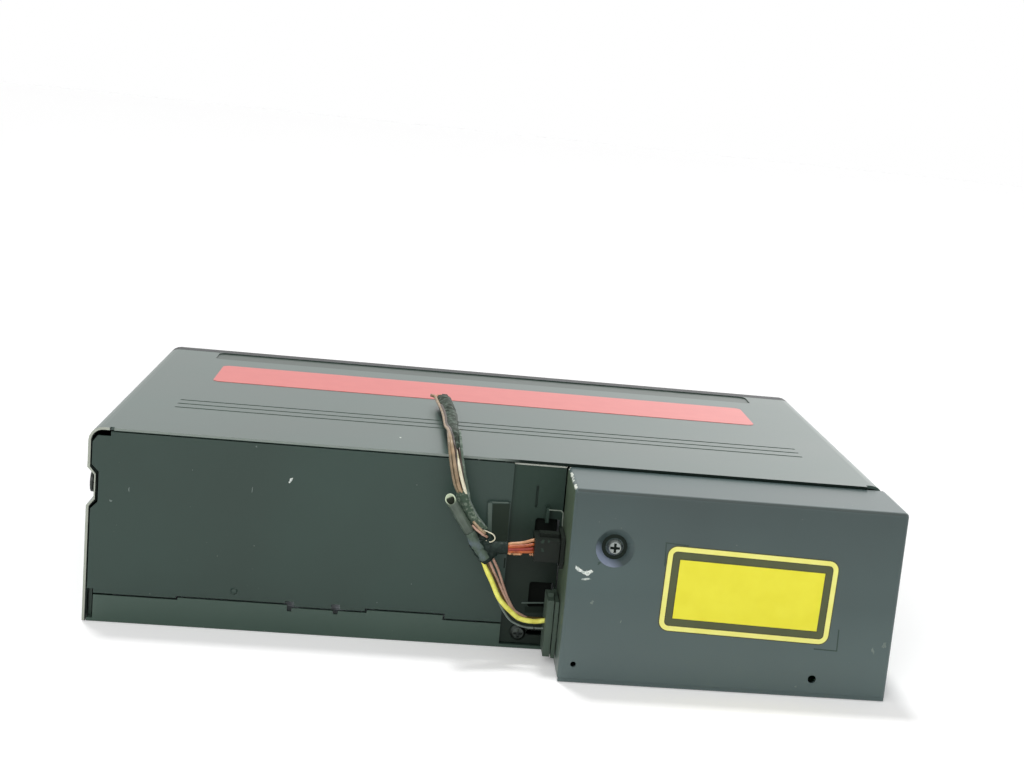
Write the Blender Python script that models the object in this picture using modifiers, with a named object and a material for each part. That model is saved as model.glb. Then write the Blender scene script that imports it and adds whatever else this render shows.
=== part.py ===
"""A six-disc car changer: pressed steel case, sliding front door, disc magazine with swinging trays,
and a lifting player with its cam drive. Metres, +Z up. The door is at -Y, the wiring side at +Y."""

import math

import bmesh
import bpy
from mathutils import Matrix, Vector

# Case sizes
case_width = 0.255
case_depth = 0.165
case_height = 0.063
sheet = 0.001
seat_gap = 0.0003
cut_overrun = 0.002
cover_bend = 0.0045
housing_width = 0.1053
housing_reach = 0.0307
housing_bend = 0.0012
flange_height = 0.012

# Pressed details of the cover
channel_drop = 0.0130
channel_height = 0.0123
channel_slope = 0.0023
channel_depth = 0.0022
groove_depth = 0.00035
groove_width = 0.0014
groove_pitch = 0.0066
groove_length = 0.214
groove_inset = 0.0545
notch_inset = 0.0064
notch_depth = 0.0024
relief_width = 0.0013
relief_depth = 0.0014
band_depth = 0.0004
band_length = 0.214
band_width = 0.0150
band_inset = 0.0065

# Rear panel and its folded seam
seam_height = 0.0090
seam_step = 0.0007
seam_gap = 0.0006
seam_notch = 0.0021
seam_shares = (0.200, 0.474, 0.587, 0.662, 0.856)
seam_step_shares = (1.0, -0.3, -0.3, 1.0, -1.3)
recess_width = 0.0172
corner_slot_width = 0.0055
corner_slot_height = 0.0014
corner_hole_width = 0.0022
corner_hole_height = 0.0050
pad_width = 0.0070
pad_height = 0.0150
pad_drop = 0.0140
pad_proud = 0.0012
rivet_radius = 0.00115
rivet_proud = 0.0006
rivet_inset = 0.0468
rivet_height = 0.0129

# Wiring recess beside the rear housing
plate_overlap = 0.0030
plate_base = 0.0014
plate_slit_width = 0.0008
plate_slit_height = 0.0071
plate_slit_drop = 0.0084
plate_slit_inset = 0.0077
window_width = 0.0080
window_height = 0.0110
window_drop = 0.0190
low_window_height = 0.0090
low_window_base = 0.0135
plate_tab_reach = 0.0040
plate_tab_height = 0.0050
plate_tab_drop = 0.0145
plate_screw_inset = 0.0118
plate_screw_height = 0.0052
plate_slot_length = 0.0060
plate_slot_width = 0.0018

# Rear housing details
dish_radius = 0.0060
dish_floor_radius = 0.0040
dish_depth = 0.0022
dish_inset = 0.0140
dish_drop = 0.0189
small_hole_radius = 0.0009
small_hole_inset = 0.0046
large_hole_radius = 0.00135
large_hole_inset = 0.0808
hole_height = 0.0060
housing_clear = 0.0015

# Screws
screw_head_radius = 0.0026
screw_head_height = 0.0016
screw_shank_radius = 0.0013
housing_screw_length = 0.0060
plate_screw_length = 0.0028
screw_cross_width = 0.0008
screw_cross_length = 0.0030
screw_cross_depth = 0.0009

# Front bezel, door and eject button
bezel_thickness = 0.003
bezel_wall = 0.0015
bezel_tab_depth = 0.0090
bezel_tab_thickness = 0.0013
door_thickness = 0.0015
door_overlap = 0.0006
door_margin = 0.0010
rail_thickness = 0.0010
rail_lip = 0.0010
door_rib_width = 0.0012
door_rib_depth = 0.0006
door_rib_pitch = 0.0030
door_rib_count = 5
button_width = 0.0160
button_height = 0.0060
button_x = 0.0620
button_drop = 0.0077
button_flange = 0.0010
button_flange_thickness = 0.0010
button_travel = 0.0020
button_stem_radius = 0.0015
button_stem_length = 0.0040
switch_width = 0.0120
switch_depth = 0.0060
switch_height = 0.0065
shelf_thickness = 0.0012

# Disc trays and magazine
disc_radius = 0.060
tray_margin = 0.0006
tray_thickness = 0.0016
tray_floor = 0.0005
tray_rim = 0.0005
tray_pitch = 0.00375
tray_count = 6
post_back = 0.0024
tray_side = 0.050
tray_back = 0.060
hub_clear_radius = 0.019
ear_half_width = 0.0055
pivot_pin_radius = 0.0015
bearing_gap = 0.0003
magazine_wall = 0.0012
magazine_floor = 0.0012
magazine_base = 0.0202
magazine_top_thickness = 0.0010
separator = 0.0007
magazine_front = 0.0044
magazine_rear_margin = 0.0020
magazine_end_wall = 0.0010
grip_width = 0.040
grip_depth = 0.0026
grip_height = 0.0120
swing_margin = 0.0013

# Mechanism chassis and its dampers
chassis_sheet = 0.0010
chassis_left_sheet = 0.0008
damper_height = 0.0034
damper_radius = 0.0060
damper_waist = 0.0042
damper_inset = 0.0190
chassis_wall_top = 0.0494
chassis_right = 0.1200
chassis_bay = 0.0020
guide_lip = 0.0070

# Lifting player
lift_slope_share = 0.78125
pin_radius = 0.0015
slot_gap = 0.0003
pin_height = 0.0270
pin_near = 0.0340
pin_far = 0.0880
pin_overhang = 0.0012
wall_gap = 0.0005
cam_thickness = 0.0010
cam_base = 0.0220
cam_top = 0.0490
cam_end = 0.0035
guide_stud_x = 0.0640
guide_stud_height = 0.0455
player_sheet = 0.0010
player_drop = 0.0013
player_left = 0.0200
player_right = 0.0780
player_wide = 0.0920
player_shoulder = 0.0330
player_flange_height = 0.0060
player_flange_end = 0.0045

# Spindle, turntable and pickup
spindle_motor_radius = 0.0120
spindle_motor_height = 0.0085
turntable_radius = 0.0150
turntable_thickness = 0.0016
turntable_lift = 0.0006
cone_radius = 0.0073
cone_top_radius = 0.0050
cone_height = 0.0018
spindle_radius = 0.0012
sled_inner = 0.0250
sled_travel = 0.0310
sled_length = 0.0120
lens_share = 0.75
sled_width = 0.0160
sled_height = 0.0062
sled_slot_width = 0.0140
rod_spacing = 0.0240
rod_radius = 0.0015
rod_drop = 0.0045
bracket_thickness = 0.0015
lens_radius = 0.0035
lens_holder_radius = 0.0048
lens_height = 0.0012
screw_offset = 0.0175
sled_motor_radius = 0.0042
sled_motor_length = 0.0130

# Clamp arm
arm_reach = 0.0580
arm_width = 0.0150
arm_thickness = 0.0012
arm_ring_radius = 0.0130
arm_hole_radius = 0.0052
clamper_radius = 0.0115
clamper_height = 0.0028
clamper_gap = 0.0004
clamper_rest = 0.0001
disc_thickness = 0.0012
clamper_recess = 0.0009
clamper_neck_radius = 0.0045
clamper_cap_radius = 0.0070
clamper_cap_height = 0.0008
hinge_ear_width = 0.0040
hinge_ear_thickness = 0.0012

# Lift drive
gear_module = 0.0008
pinion_teeth = 15
wheel_teeth = 28
motor_teeth = 10
pinion_width = 0.0016
wheel_width = 0.0040
backlash = 0.0002
shaft_radius = 0.0020
shaft_x = 0.0960
wheel_y = -0.0580
motor_wall_gap = 0.0010
lift_motor_radius = 0.0100
lift_motor_length = 0.0220
motor_shaft_radius = 0.0010
motor_angle = math.radians(35)
motor_wall_width = 0.0120

# Suspension angle dials
dial_radius = 0.0034
dial_proud = 0.0013
dial_stem_radius = 0.0020
dial_washer_radius = 0.0042
dial_washer = 0.0003
dial_slot_width = 0.0010
dial_slot_depth = 0.0007
dial_inset = 0.0082

# Boards and sockets in the rear housing
board_thickness = 0.0016
board_margin = 0.0040
board_inset = 0.0130
socket_board_inset = 0.0090
post_radius = 0.0030
chip_height = 0.0020
socket_width = 0.0120
socket_height = 0.0070
socket_wall = 0.0008
socket_flange = 0.0012
socket_flange_rim = 0.0015
socket_depth = 0.0055
socket_y = 0.0103
upper_socket_drop = 0.0252
lower_socket_z = 0.0125
lower_flange_height = 0.0186
plug_body = 0.0078
lower_plug_body = 0.0022
plug_rim = 0.0002
latch_height = 0.0012

# Harness
upper_lead_radius = 0.0023
trunk_radius = 0.0024
junction_radius = 0.0026
stub_radius = 0.0020
lower_lead_radius = 0.0021
tube_steps_share = 1.0

# Places that follow from the sizes
half_width = case_width / 2
y_front = -(case_depth + housing_reach) / 2
y_rear = y_front + case_depth
y_back = y_rear + housing_reach
x_housing = housing_width - half_width
inner_x = half_width - sheet - seat_gap
floor_top = sheet
chassis_base = floor_top + seat_gap + damper_height + seat_gap
chassis_top = chassis_base + chassis_sheet
channel_inner_x = half_width - channel_depth - sheet
channel_top = case_height - channel_drop
channel_bottom = channel_top - channel_height
dish_height = case_height - dish_drop
upper_socket_z = case_height - upper_socket_drop
button_z = case_height - button_drop

tray_radius = disc_radius + tray_margin
swing_radius = math.hypot(tray_side, tray_back)
swing_angle = 2 * math.atan2(tray_side, tray_back)
x_magazine = seat_gap * 2 + chassis_left_sheet - channel_inner_x + seat_gap
x_tray = x_magazine + magazine_wall + seat_gap + tray_radius
x_pivot = x_tray + tray_side
x_player = x_pivot + tray_side
x_magazine_end = x_tray + tray_radius + seat_gap
door_y = y_front + bezel_thickness + seat_gap
lip_y = door_y + door_thickness + seat_gap
magazine_y = lip_y + rail_thickness + seat_gap
swing_front = magazine_y + magazine_front + swing_margin
y_pivot = swing_front + swing_radius + tray_radius
y_player = y_pivot - tray_back
y_magazine_end = y_pivot + ear_half_width + magazine_rear_margin + magazine_end_wall
cavity_height = tray_pitch - separator
first_tray = magazine_base + magazine_floor + seat_gap
magazine_height = magazine_floor + tray_count * tray_pitch - separator + magazine_top_thickness
lift_height = (tray_count - 1) * tray_pitch
cam_travel = lift_height / lift_slope_share
mouth_angle = swing_angle / 2 + math.asin(tray_radius / (2 * swing_radius))
player_top = first_tray - player_drop
player_base = player_top - player_sheet
swing_rear = y_player + tray_radius


# Building blocks
for stray in list(bpy.data.objects):
    bpy.data.objects.remove(stray, do_unlink=True)

pieces = bpy.data.collections.new("disc_changer")
cutters = bpy.data.collections.new("cutters")
bpy.context.scene.collection.children.link(pieces)
bpy.context.scene.collection.children.link(cutters)
cutters.hide_render = True


def finish(name, colour, roughness, metallic):
    """A Principled material of one colour."""
    made = bpy.data.materials.new(name)
    made.use_nodes = True
    shader = made.node_tree.nodes["Principled BSDF"]
    shader.inputs["Base Color"].default_value = (*colour, 1.0)
    shader.inputs["Roughness"].default_value = roughness
    shader.inputs["Metallic"].default_value = metallic
    made.diffuse_color = (*colour, 1.0)
    return made


cover_paint = finish("cover_paint", (0.035, 0.042, 0.040), 0.45, 0.2)
panel_paint = finish("panel_paint", (0.022, 0.028, 0.026), 0.6, 0.2)
housing_paint = finish("housing_paint", (0.035, 0.040, 0.047), 0.5, 0.2)
black_plastic = finish("black_plastic", (0.012, 0.012, 0.013), 0.5, 0.0)
grey_plastic = finish("grey_plastic", (0.09, 0.09, 0.095), 0.5, 0.0)
white_plastic = finish("white_plastic", (0.62, 0.61, 0.56), 0.4, 0.0)
zinc_steel = finish("zinc_steel", (0.55, 0.56, 0.58), 0.35, 0.9)
bright_steel = finish("bright_steel", (0.70, 0.70, 0.72), 0.2, 1.0)
green_board = finish("green_board", (0.01, 0.10, 0.03), 0.4, 0.0)
rubber = finish("rubber", (0.015, 0.015, 0.016), 0.8, 0.0)
tape = finish("tape", (0.03, 0.035, 0.033), 0.6, 0.0)
wire_yellow = finish("wire_yellow", (0.80, 0.66, 0.05), 0.4, 0.0)
wire_orange = finish("wire_orange", (0.75, 0.20, 0.05), 0.4, 0.0)
lens_glass = finish("lens_glass", (0.25, 0.20, 0.40), 0.1, 0.0)


def axes(origin, x_axis, y_axis):
    """A frame at origin whose local X and Y point along the two given directions."""
    x_axis = Vector(x_axis).normalized()
    y_axis = Vector(y_axis).normalized()
    z_axis = x_axis.cross(y_axis)
    turn = Matrix((x_axis, y_axis, z_axis)).transposed().to_4x4()
    return Matrix.Translation(Vector(origin)) @ turn


def level(x, y, z):
    """Local Z up."""
    return Matrix.Translation(Vector((x, y, z)))


def upright(x, y, z):
    """Outlines drawn in X and Z; their thickness runs towards -Y."""
    return axes((x, y, z), (1, 0, 0), (0, 0, 1))


def sideways(x, y, z):
    """Outlines drawn in Y and Z; their thickness runs towards +X."""
    return axes((x, y, z), (0, 1, 0), (0, 0, 1))


def rectangle(x0, y0, x1, y1):
    return [(x0, y0), (x1, y0), (x1, y1), (x0, y1)]


def arc(cx, cy, radius, start, end, steps):
    """Points along an arc, both ends included."""
    angles = [start + (end - start) * i / steps for i in range(steps + 1)]
    return [(cx + radius * math.cos(a), cy + radius * math.sin(a)) for a in angles]


def circle(cx, cy, radius, steps=24):
    return arc(cx, cy, radius, 0, math.tau, steps)[:-1]


def rounded(x0, y0, x1, y1, radius, steps=4):
    """A rectangle with round corners."""
    quarter = math.pi / 2
    return (
        arc(x1 - radius, y1 - radius, radius, 0, quarter, steps)
        + arc(x0 + radius, y1 - radius, radius, quarter, 2 * quarter, steps)
        + arc(x0 + radius, y0 + radius, radius, 2 * quarter, 3 * quarter, steps)
        + arc(x1 - radius, y0 + radius, radius, 3 * quarter, 4 * quarter, steps)
    )


def slot(xa, ya, xb, yb, radius, steps=6):
    """A round-ended slot between two points."""
    along = math.atan2(yb - ya, xb - xa)
    half = math.pi / 2
    return arc(xb, yb, radius, along - half, along + half, steps) + arc(
        xa, ya, radius, along + half, along + 3 * half, steps
    )


def mesh_of(source):
    """The evaluated mesh of an object, welded, with the object removed."""
    graph = bpy.context.evaluated_depsgraph_get()
    made = bpy.data.meshes.new_from_object(source.evaluated_get(graph))
    bpy.data.objects.remove(source, do_unlink=True)
    work = bmesh.new()
    work.from_mesh(made)
    bmesh.ops.remove_doubles(work, verts=work.verts, dist=sheet / 1000)
    bmesh.ops.recalc_face_normals(work, faces=work.faces)
    work.to_mesh(made)
    work.free()
    return made


def flat(outlines, thickness):
    """A flat piece from z = 0 to its thickness: the first outline is its edge, the others are holes."""
    curve = bpy.data.curves.new("outline", "CURVE")
    curve.dimensions = "2D"
    curve.fill_mode = "BOTH"
    curve.extrude = thickness / 2
    for outline in outlines:
        spline = curve.splines.new("POLY")
        spline.points.add(len(outline) - 1)
        for point, (x, y) in zip(spline.points, outline):
            point.co = (x, y, 0, 1)
        spline.use_cyclic_u = True
    drawn = bpy.data.objects.new("outline", curve)
    cutters.objects.link(drawn)
    made = mesh_of(drawn)
    made.transform(Matrix.Translation((0, 0, thickness / 2)))
    return made


def block(x0, y0, z0, x1, y1, z1, bevel=0.0):
    """A box between two corners, its edges bevelled if a width is given."""
    work = bmesh.new()
    bmesh.ops.create_cube(work, size=1)
    size = Matrix.Diagonal((x1 - x0, y1 - y0, z1 - z0, 1))
    bmesh.ops.transform(work, matrix=size, verts=work.verts)
    bmesh.ops.translate(work, vec=((x0 + x1) / 2, (y0 + y1) / 2, (z0 + z1) / 2), verts=work.verts)
    if bevel:
        bmesh.ops.bevel(
            work, geom=work.edges[:], offset=bevel, segments=2, profile=0.5, affect="EDGES"
        )
    made = bpy.data.meshes.new("block")
    work.to_mesh(made)
    work.free()
    return made


def rod(radius, length, steps=24, top=None):
    """A cylinder or cone standing on z = 0."""
    work = bmesh.new()
    bmesh.ops.create_cone(
        work,
        cap_ends=True,
        segments=steps,
        radius1=radius,
        radius2=radius if top is None else top,
        depth=length,
    )
    bmesh.ops.translate(work, vec=(0, 0, length / 2), verts=work.verts)
    made = bpy.data.meshes.new("rod")
    work.to_mesh(made)
    work.free()
    return made


def turned(profile, steps=24):
    """A turned shape: the profile runs from the top down its outer side, as radius and height."""
    drawn = bpy.data.meshes.new("profile")
    edges = [(i, i + 1) for i in range(len(profile) - 1)]
    drawn.from_pydata([(r, 0, z) for r, z in profile], edges, [])
    spun = bpy.data.objects.new("profile", drawn)
    cutters.objects.link(spun)
    screw = spun.modifiers.new("turn", "SCREW")
    screw.steps = steps
    screw.render_steps = steps
    screw.use_merge_vertices = True
    screw.merge_threshold = sheet / 100
    return mesh_of(spun)


def together(meshes):
    """Several separate bodies as one mesh, for a single cut."""
    work = bmesh.new()
    for mesh in meshes:
        work.from_mesh(mesh)
    made = bpy.data.meshes.new("together")
    work.to_mesh(made)
    work.free()
    return made


def smooth(mesh):
    mesh.shade_smooth()
    mesh.set_sharp_from_angle(angle=math.radians(35))


def piece(name, mesh, paint, frame=None, parent=None):
    """A named sub-part in the object's collection."""
    made = bpy.data.objects.new(name, mesh)
    pieces.objects.link(made)
    made.data.materials.append(paint)
    if parent:
        made.parent = parent
    if frame is not None:
        made.matrix_world = frame
    smooth(mesh)
    return made


def helper(mesh, frame=None):
    """A cutter or an added shape that a Boolean reads."""
    made = bpy.data.objects.new("helper", mesh)
    cutters.objects.link(made)
    made.hide_render = True
    made.display_type = "WIRE"
    if frame is not None:
        made.matrix_world = frame
    return made


def cut(target, mesh, frame=None):
    step = target.modifiers.new("cut", "BOOLEAN")
    step.operation = "DIFFERENCE"
    step.solver = "EXACT"
    step.object = helper(mesh, frame)


def join(target, mesh, frame=None):
    step = target.modifiers.new("join", "BOOLEAN")
    step.operation = "UNION"
    step.solver = "EXACT"
    step.object = helper(mesh, frame)


def axis_empty(name, frame, parent=None):
    """The empty on a joint's axis that carries what moves with it."""
    made = bpy.data.objects.new(name, None)
    pieces.objects.link(made)
    made.empty_display_size = sheet * 5
    if parent:
        made.parent = parent
    made.matrix_world = frame
    bpy.context.view_layer.update()
    return made


def phillips_screw(name, frame, length, paint=zinc_steel):
    """A pan-head screw along the frame's local Z, its head outwards."""
    profile = [
        (0, screw_head_height),
        (screw_head_radius * 0.7, screw_head_height * 0.9),
        (screw_head_radius, screw_head_height * 0.35),
        (screw_head_radius, 0),
        (screw_shank_radius, 0),
        (screw_shank_radius, -length),
        (0, -length),
    ]
    made = piece(name, turned(profile, 20), paint, frame)
    half = screw_cross_length / 2
    width = screw_cross_width / 2
    base = screw_head_height - screw_cross_depth
    top = screw_head_height + cut_overrun
    cut(made, block(-half, -width, base, half, width, top), frame)
    cut(made, block(-width, -half, base, width, half, top), frame)
    return made


# Top cover
def cover_profile():
    """Half of the cover's section, from the middle of the top down to its lower edge."""
    bend_points = arc(
        half_width - cover_bend, case_height - cover_bend, cover_bend, math.pi / 2, 0, 5
    )
    return [
        (0, case_height),
        *bend_points,
        (half_width, channel_top),
        (half_width - channel_depth, channel_top - channel_slope),
        (half_width - channel_depth, channel_bottom + channel_slope),
        (half_width, channel_bottom),
        (half_width, 0),
    ]


def top_cover():
    front = magazine_y
    rows = []
    work = bmesh.new()
    for x, z in cover_profile():
        rows.append((work.verts.new((x, front, z)), work.verts.new((x, y_rear, z))))
    for (a, b), (c, d) in zip(rows, rows[1:]):
        work.faces.new((a, c, d, b))
    drawn = bpy.data.meshes.new("cover")
    work.to_mesh(drawn)
    work.free()
    cover = piece("top_cover", drawn, cover_paint)
    mirror = cover.modifiers.new("halves", "MIRROR")
    mirror.use_mirror_merge = True
    mirror.merge_threshold = sheet / 100
    wall = cover.modifiers.new("wall", "SOLIDIFY")
    wall.thickness = sheet
    wall.offset = -1
    wall.use_even_offset = True
    for i in range(3):
        y = y_rear - groove_inset + i * groove_pitch
        half = groove_length / 2
        top = case_height + cut_overrun
        floor = case_height - groove_depth
        line = flat([slot(-half, y, half, y, groove_width / 2, 4)], top - floor)
        cut(cover, line, level(0, 0, floor))
    band = rounded(
        -band_length / 2,
        y_front + band_inset,
        band_length / 2,
        y_front + band_inset + band_width,
        band_width / 6,
    )
    cut(cover, flat([band], band_depth + cut_overrun), level(0, 0, case_height - band_depth))
    notch_base = case_height - cover_bend + sheet
    notch = block(
        -half_width - cut_overrun,
        y_rear - notch_depth,
        notch_base,
        notch_inset - half_width,
        y_rear + cut_overrun,
        case_height + cut_overrun,
    )
    cut(cover, notch)
    relief = block(
        half_width - notch_inset - relief_width,
        y_rear - relief_depth,
        notch_base,
        half_width - notch_inset,
        y_rear + cut_overrun,
        case_height + cut_overrun,
    )
    cut(cover, relief)
    for side in (-1, 1):
        frame = axes(
            (side * (half_width - channel_depth - sheet - cut_overrun), dial_y, dial_z),
            (0, side, 0),
            (0, 0, 1),
        )
        cut(cover, rod(dial_stem_radius + bearing_gap, sheet + 2 * cut_overrun, 20), frame)
    return cover


dial_y = y_rear - dial_inset
dial_z = (channel_top + channel_bottom) / 2
top_cover()


# Bottom plate
x_flange_end = half_width - sheet - corner_hole_width
x_plate_start = x_housing + recess_width
seam_span = x_flange_end - x_plate_start


def seam_line(side):
    """The stepped seam from the cover's side towards the wiring recess, above it or below it."""
    half = seam_notch / 2 + side * seam_gap / 2
    slack = side * seam_gap / 2
    z = seam_height + slack
    points = [(x_flange_end, z)]
    for i, (share, step) in enumerate(zip(seam_shares, seam_step_shares)):
        x = x_flange_end - share * seam_span
        new_z = seam_height + step * seam_step + slack
        if i in (1, 2):
            edge = seam_height + side * (seam_notch / 2 + seam_gap)
            points += [(x + half, z), (x + half, edge), (x - half, edge), (x - half, new_z)]
        else:
            shift = slack if new_z > z else -slack
            points += [(x + shift, z), (x + shift, new_z)]
        z = new_z
    points.append((x_plate_start, z))
    return points


def bottom_plate():
    edge_front = magazine_y
    edge_rear = y_back - sheet - seat_gap
    inner_housing = x_housing - sheet - seat_gap
    outline = [
        (-inner_x, edge_front),
        (inner_x, edge_front),
        (inner_x, y_rear),
        (inner_housing, y_rear),
        (inner_housing, edge_rear),
        (-inner_x, edge_rear),
    ]
    foot_holes = [
        circle(sx * inner_x * 0.72, sy * case_depth * 0.36 + y_front + case_depth / 2, sheet * 2, 16)
        for sx in (-1, 1)
        for sy in (-1, 1)
    ]
    plate = piece("bottom_plate", flat([outline, *foot_holes], sheet), panel_paint)
    side = rectangle(edge_front, 0, y_rear - sheet - seat_gap - corner_hole_width, flange_height)
    join(plate, flat([side], sheet), sideways(inner_x - sheet, 0, 0))
    join(plate, flat([side], sheet), sideways(-inner_x, 0, 0))
    back = [(x_flange_end, 0), *seam_line(-1), (x_plate_start, 0)]
    join(plate, flat([back[::-1]], sheet), upright(0, y_rear, 0))
    return plate


bottom_plate()


# Rear panel
def rear_panel():
    top = case_height - sheet - seat_gap
    left = inner_x
    outline = [
        (x_plate_start, top),
        (left - corner_slot_width, top),
        (left - corner_slot_width, top - corner_slot_height),
        (left - cover_bend / 3, top - corner_slot_height),
        (left, case_height - cover_bend - seat_gap),
        (left, channel_top + sheet),
        (left - channel_depth, channel_top - channel_slope + sheet),
        (left - channel_depth, channel_bottom + channel_slope - sheet),
        (left, channel_bottom - sheet),
        (left, seam_height + corner_hole_height / 3),
        (x_flange_end, seam_height + corner_hole_height / 3),
        *seam_line(1),
    ]
    panel = piece("rear_panel", flat([outline], sheet), panel_paint, upright(0, y_rear, 0))
    pad_start = x_plate_start + seat_gap
    pad_top = case_height - pad_drop
    pad = rounded(pad_start, pad_top - pad_height, pad_start + pad_width, pad_top, pad_proud / 2)
    join(panel, flat([pad], sheet / 2 + pad_proud), upright(0, y_rear + pad_proud, 0))
    dome = [(0, rivet_proud), (rivet_radius * 0.7, rivet_proud * 0.8), (rivet_radius, 0)]
    dome += [(rivet_radius, -sheet / 2), (0, -sheet / 2)]
    head = axes((half_width - rivet_inset, y_rear, rivet_height), (-1, 0, 0), (0, 0, 1))
    join(panel, turned(dome, 16), head)
    return panel


rear_panel()


# Connector plate in the wiring recess
plate_face_y = y_rear - sheet - seat_gap
plate_left = x_plate_start + plate_overlap
plate_right = x_housing + seat_gap


def connector_plate():
    top = case_height - sheet - seat_gap
    outline = rectangle(plate_right, plate_base, plate_left, top)
    slit_x = x_plate_start - plate_slit_inset
    slit_top = case_height - plate_slit_drop
    slit = rectangle(slit_x - plate_slit_width, slit_top - plate_slit_height, slit_x, slit_top)
    edge = plate_right + seat_gap * 2
    window_top = case_height - window_drop
    window = rounded(edge, window_top - window_height, edge + window_width, window_top, sheet)
    low = rounded(
        edge, low_window_base, edge + window_width, low_window_base + low_window_height, sheet
    )
    screw_x = x_plate_start - plate_screw_inset / 2
    long_slot = slot(
        screw_x - plate_slot_width * 2,
        plate_screw_height,
        screw_x - plate_slot_width * 2 - plate_slot_length,
        plate_screw_height,
        plate_slot_width / 2,
    )
    hole = circle(screw_x, plate_screw_height, screw_shank_radius + bearing_gap, 16)
    plate = piece(
        "connector_plate",
        flat([outline, slit, window, low, long_slot, hole], sheet),
        panel_paint,
        upright(0, plate_face_y, 0),
    )
    tab_x = edge + window_width / 2
    tab_top = case_height - plate_tab_drop
    tab = block(
        tab_x,
        plate_face_y - sheet / 2,
        tab_top - plate_tab_height,
        tab_x + sheet,
        plate_face_y + plate_tab_reach,
        tab_top,
    )
    join(plate, tab)
    return screw_x


plate_screw_x = connector_plate()
phillips_screw(
    "connector_plate_screw",
    axes((plate_screw_x, plate_face_y + seat_gap, plate_screw_height), (-1, 0, 0), (0, 0, 1)),
    plate_screw_length,
)


# Rear housing
def rear_housing():
    z0 = floor_top + seat_gap
    z1 = case_height - sheet
    work = bmesh.new()
    bmesh.ops.create_cube(work, size=1)
    scale = Matrix.Diagonal((housing_width, housing_reach, z1 - z0, 1))
    bmesh.ops.transform(work, matrix=scale, verts=work.verts)
    centre = (x_housing - housing_width / 2, y_rear + housing_reach / 2, (z0 + z1) / 2)
    bmesh.ops.translate(work, vec=centre, verts=work.verts)
    work.faces.ensure_lookup_table()
    open_faces = [f for f in work.faces if f.normal.z < -0.5 or f.normal.y < -0.5]
    bmesh.ops.delete(work, geom=open_faces, context="FACES")
    folds = [e for e in work.edges if len(e.link_faces) == 2]
    bmesh.ops.bevel(
        work, geom=folds, offset=housing_bend, segments=3, profile=0.5, affect="EDGES"
    )
    drawn = bpy.data.meshes.new("housing")
    work.to_mesh(drawn)
    work.free()
    housing = piece("rear_housing", drawn, housing_paint)
    wall = housing.modifiers.new("wall", "SOLIDIFY")
    wall.thickness = sheet
    wall.offset = -1
    wall.use_even_offset = True
    x_dish = x_housing - dish_inset
    frame = axes((x_dish, y_back, dish_height), (-1, 0, 0), (0, 0, 1))
    through = rod(dish_radius, sheet + 2 * cut_overrun, 32)
    cut(housing, through, frame @ Matrix.Translation((0, 0, -sheet - cut_overrun)))
    hole = screw_shank_radius + bearing_gap
    cup = [
        (dish_radius + sheet, 0),
        (dish_radius + sheet, -sheet),
        (dish_floor_radius + sheet, -dish_depth - sheet),
        (hole, -dish_depth - sheet),
        (hole, -dish_depth),
        (dish_floor_radius, -dish_depth),
        (dish_radius, 0),
        (dish_radius + sheet, 0),
    ]
    join(housing, turned(cup, 32), frame)
    small = rod(small_hole_radius, sheet + 2 * cut_overrun, 16)
    large = rod(large_hole_radius, sheet + 2 * cut_overrun, 16)
    for inset, drill in ((small_hole_inset, small), (large_hole_inset, large)):
        inner_face = y_back - sheet - cut_overrun
        spot = axes((x_housing - inset, inner_face, hole_height), (-1, 0, 0), (0, 0, 1))
        cut(housing, drill, spot)
    for z in (upper_socket_z, lower_socket_z):
        opening = block(
            x_housing - sheet - cut_overrun,
            y_rear + socket_y - socket_width / 2 - seat_gap,
            z - socket_height / 2 - seat_gap,
            x_housing + cut_overrun,
            y_rear + socket_y + socket_width / 2 + seat_gap,
            z + socket_height / 2 + seat_gap,
        )
        cut(housing, opening)
    return x_dish


x_dish = rear_housing()
phillips_screw(
    "rear_housing_screw",
    axes((x_dish, y_back - dish_depth + seat_gap, dish_height), (-1, 0, 0), (0, 0, 1)),
    housing_screw_length,
    bright_steel,
)


# Boards and sockets
y_board = y_back - board_inset
x_socket_board = x_housing - socket_board_inset


def boards():
    z0 = floor_top + seat_gap
    z1 = case_height - 2 * sheet - board_margin
    x0 = -half_width + sheet + board_margin
    x1 = x_socket_board - board_thickness - seat_gap * 2
    board = piece(
        "main_board",
        flat([rectangle(x0, z0, x1, z1)], board_thickness),
        green_board,
        upright(0, y_board, 0),
    )
    span = x1 - x0
    rise = z1 - z0
    for share, width, height in ((0.2, 0.16, 0.30), (0.5, 0.22, 0.36), (0.78, 0.12, 0.2)):
        chip = block(
            x0 + share * span - width * span / 2,
            y_board - board_thickness / 2,
            z0 + rise * (0.5 - height / 2),
            x0 + share * span + width * span / 2,
            y_board + chip_height,
            z0 + rise * (0.5 + height / 2),
        )
        join(board, chip)
    side_outline = rectangle(y_rear + board_margin / 2, z0, y_back - sheet - board_margin, z1)
    side = piece(
        "socket_board",
        flat([side_outline], board_thickness),
        green_board,
        sideways(x_socket_board - board_thickness, 0, 0),
    )
    post_start = y_board + seat_gap
    post_end = y_back - dish_depth - sheet - seat_gap
    frame = axes((x_dish, post_start, dish_height), (-1, 0, 0), (0, 0, 1))
    post = piece("board_post", rod(post_radius, post_end - post_start, 6), zinc_steel, frame)
    bore = rod(screw_shank_radius + bearing_gap, post_end, 16)
    cut(post, bore, frame @ Matrix.Translation((0, 0, sheet)))
    return side


boards()


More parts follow.
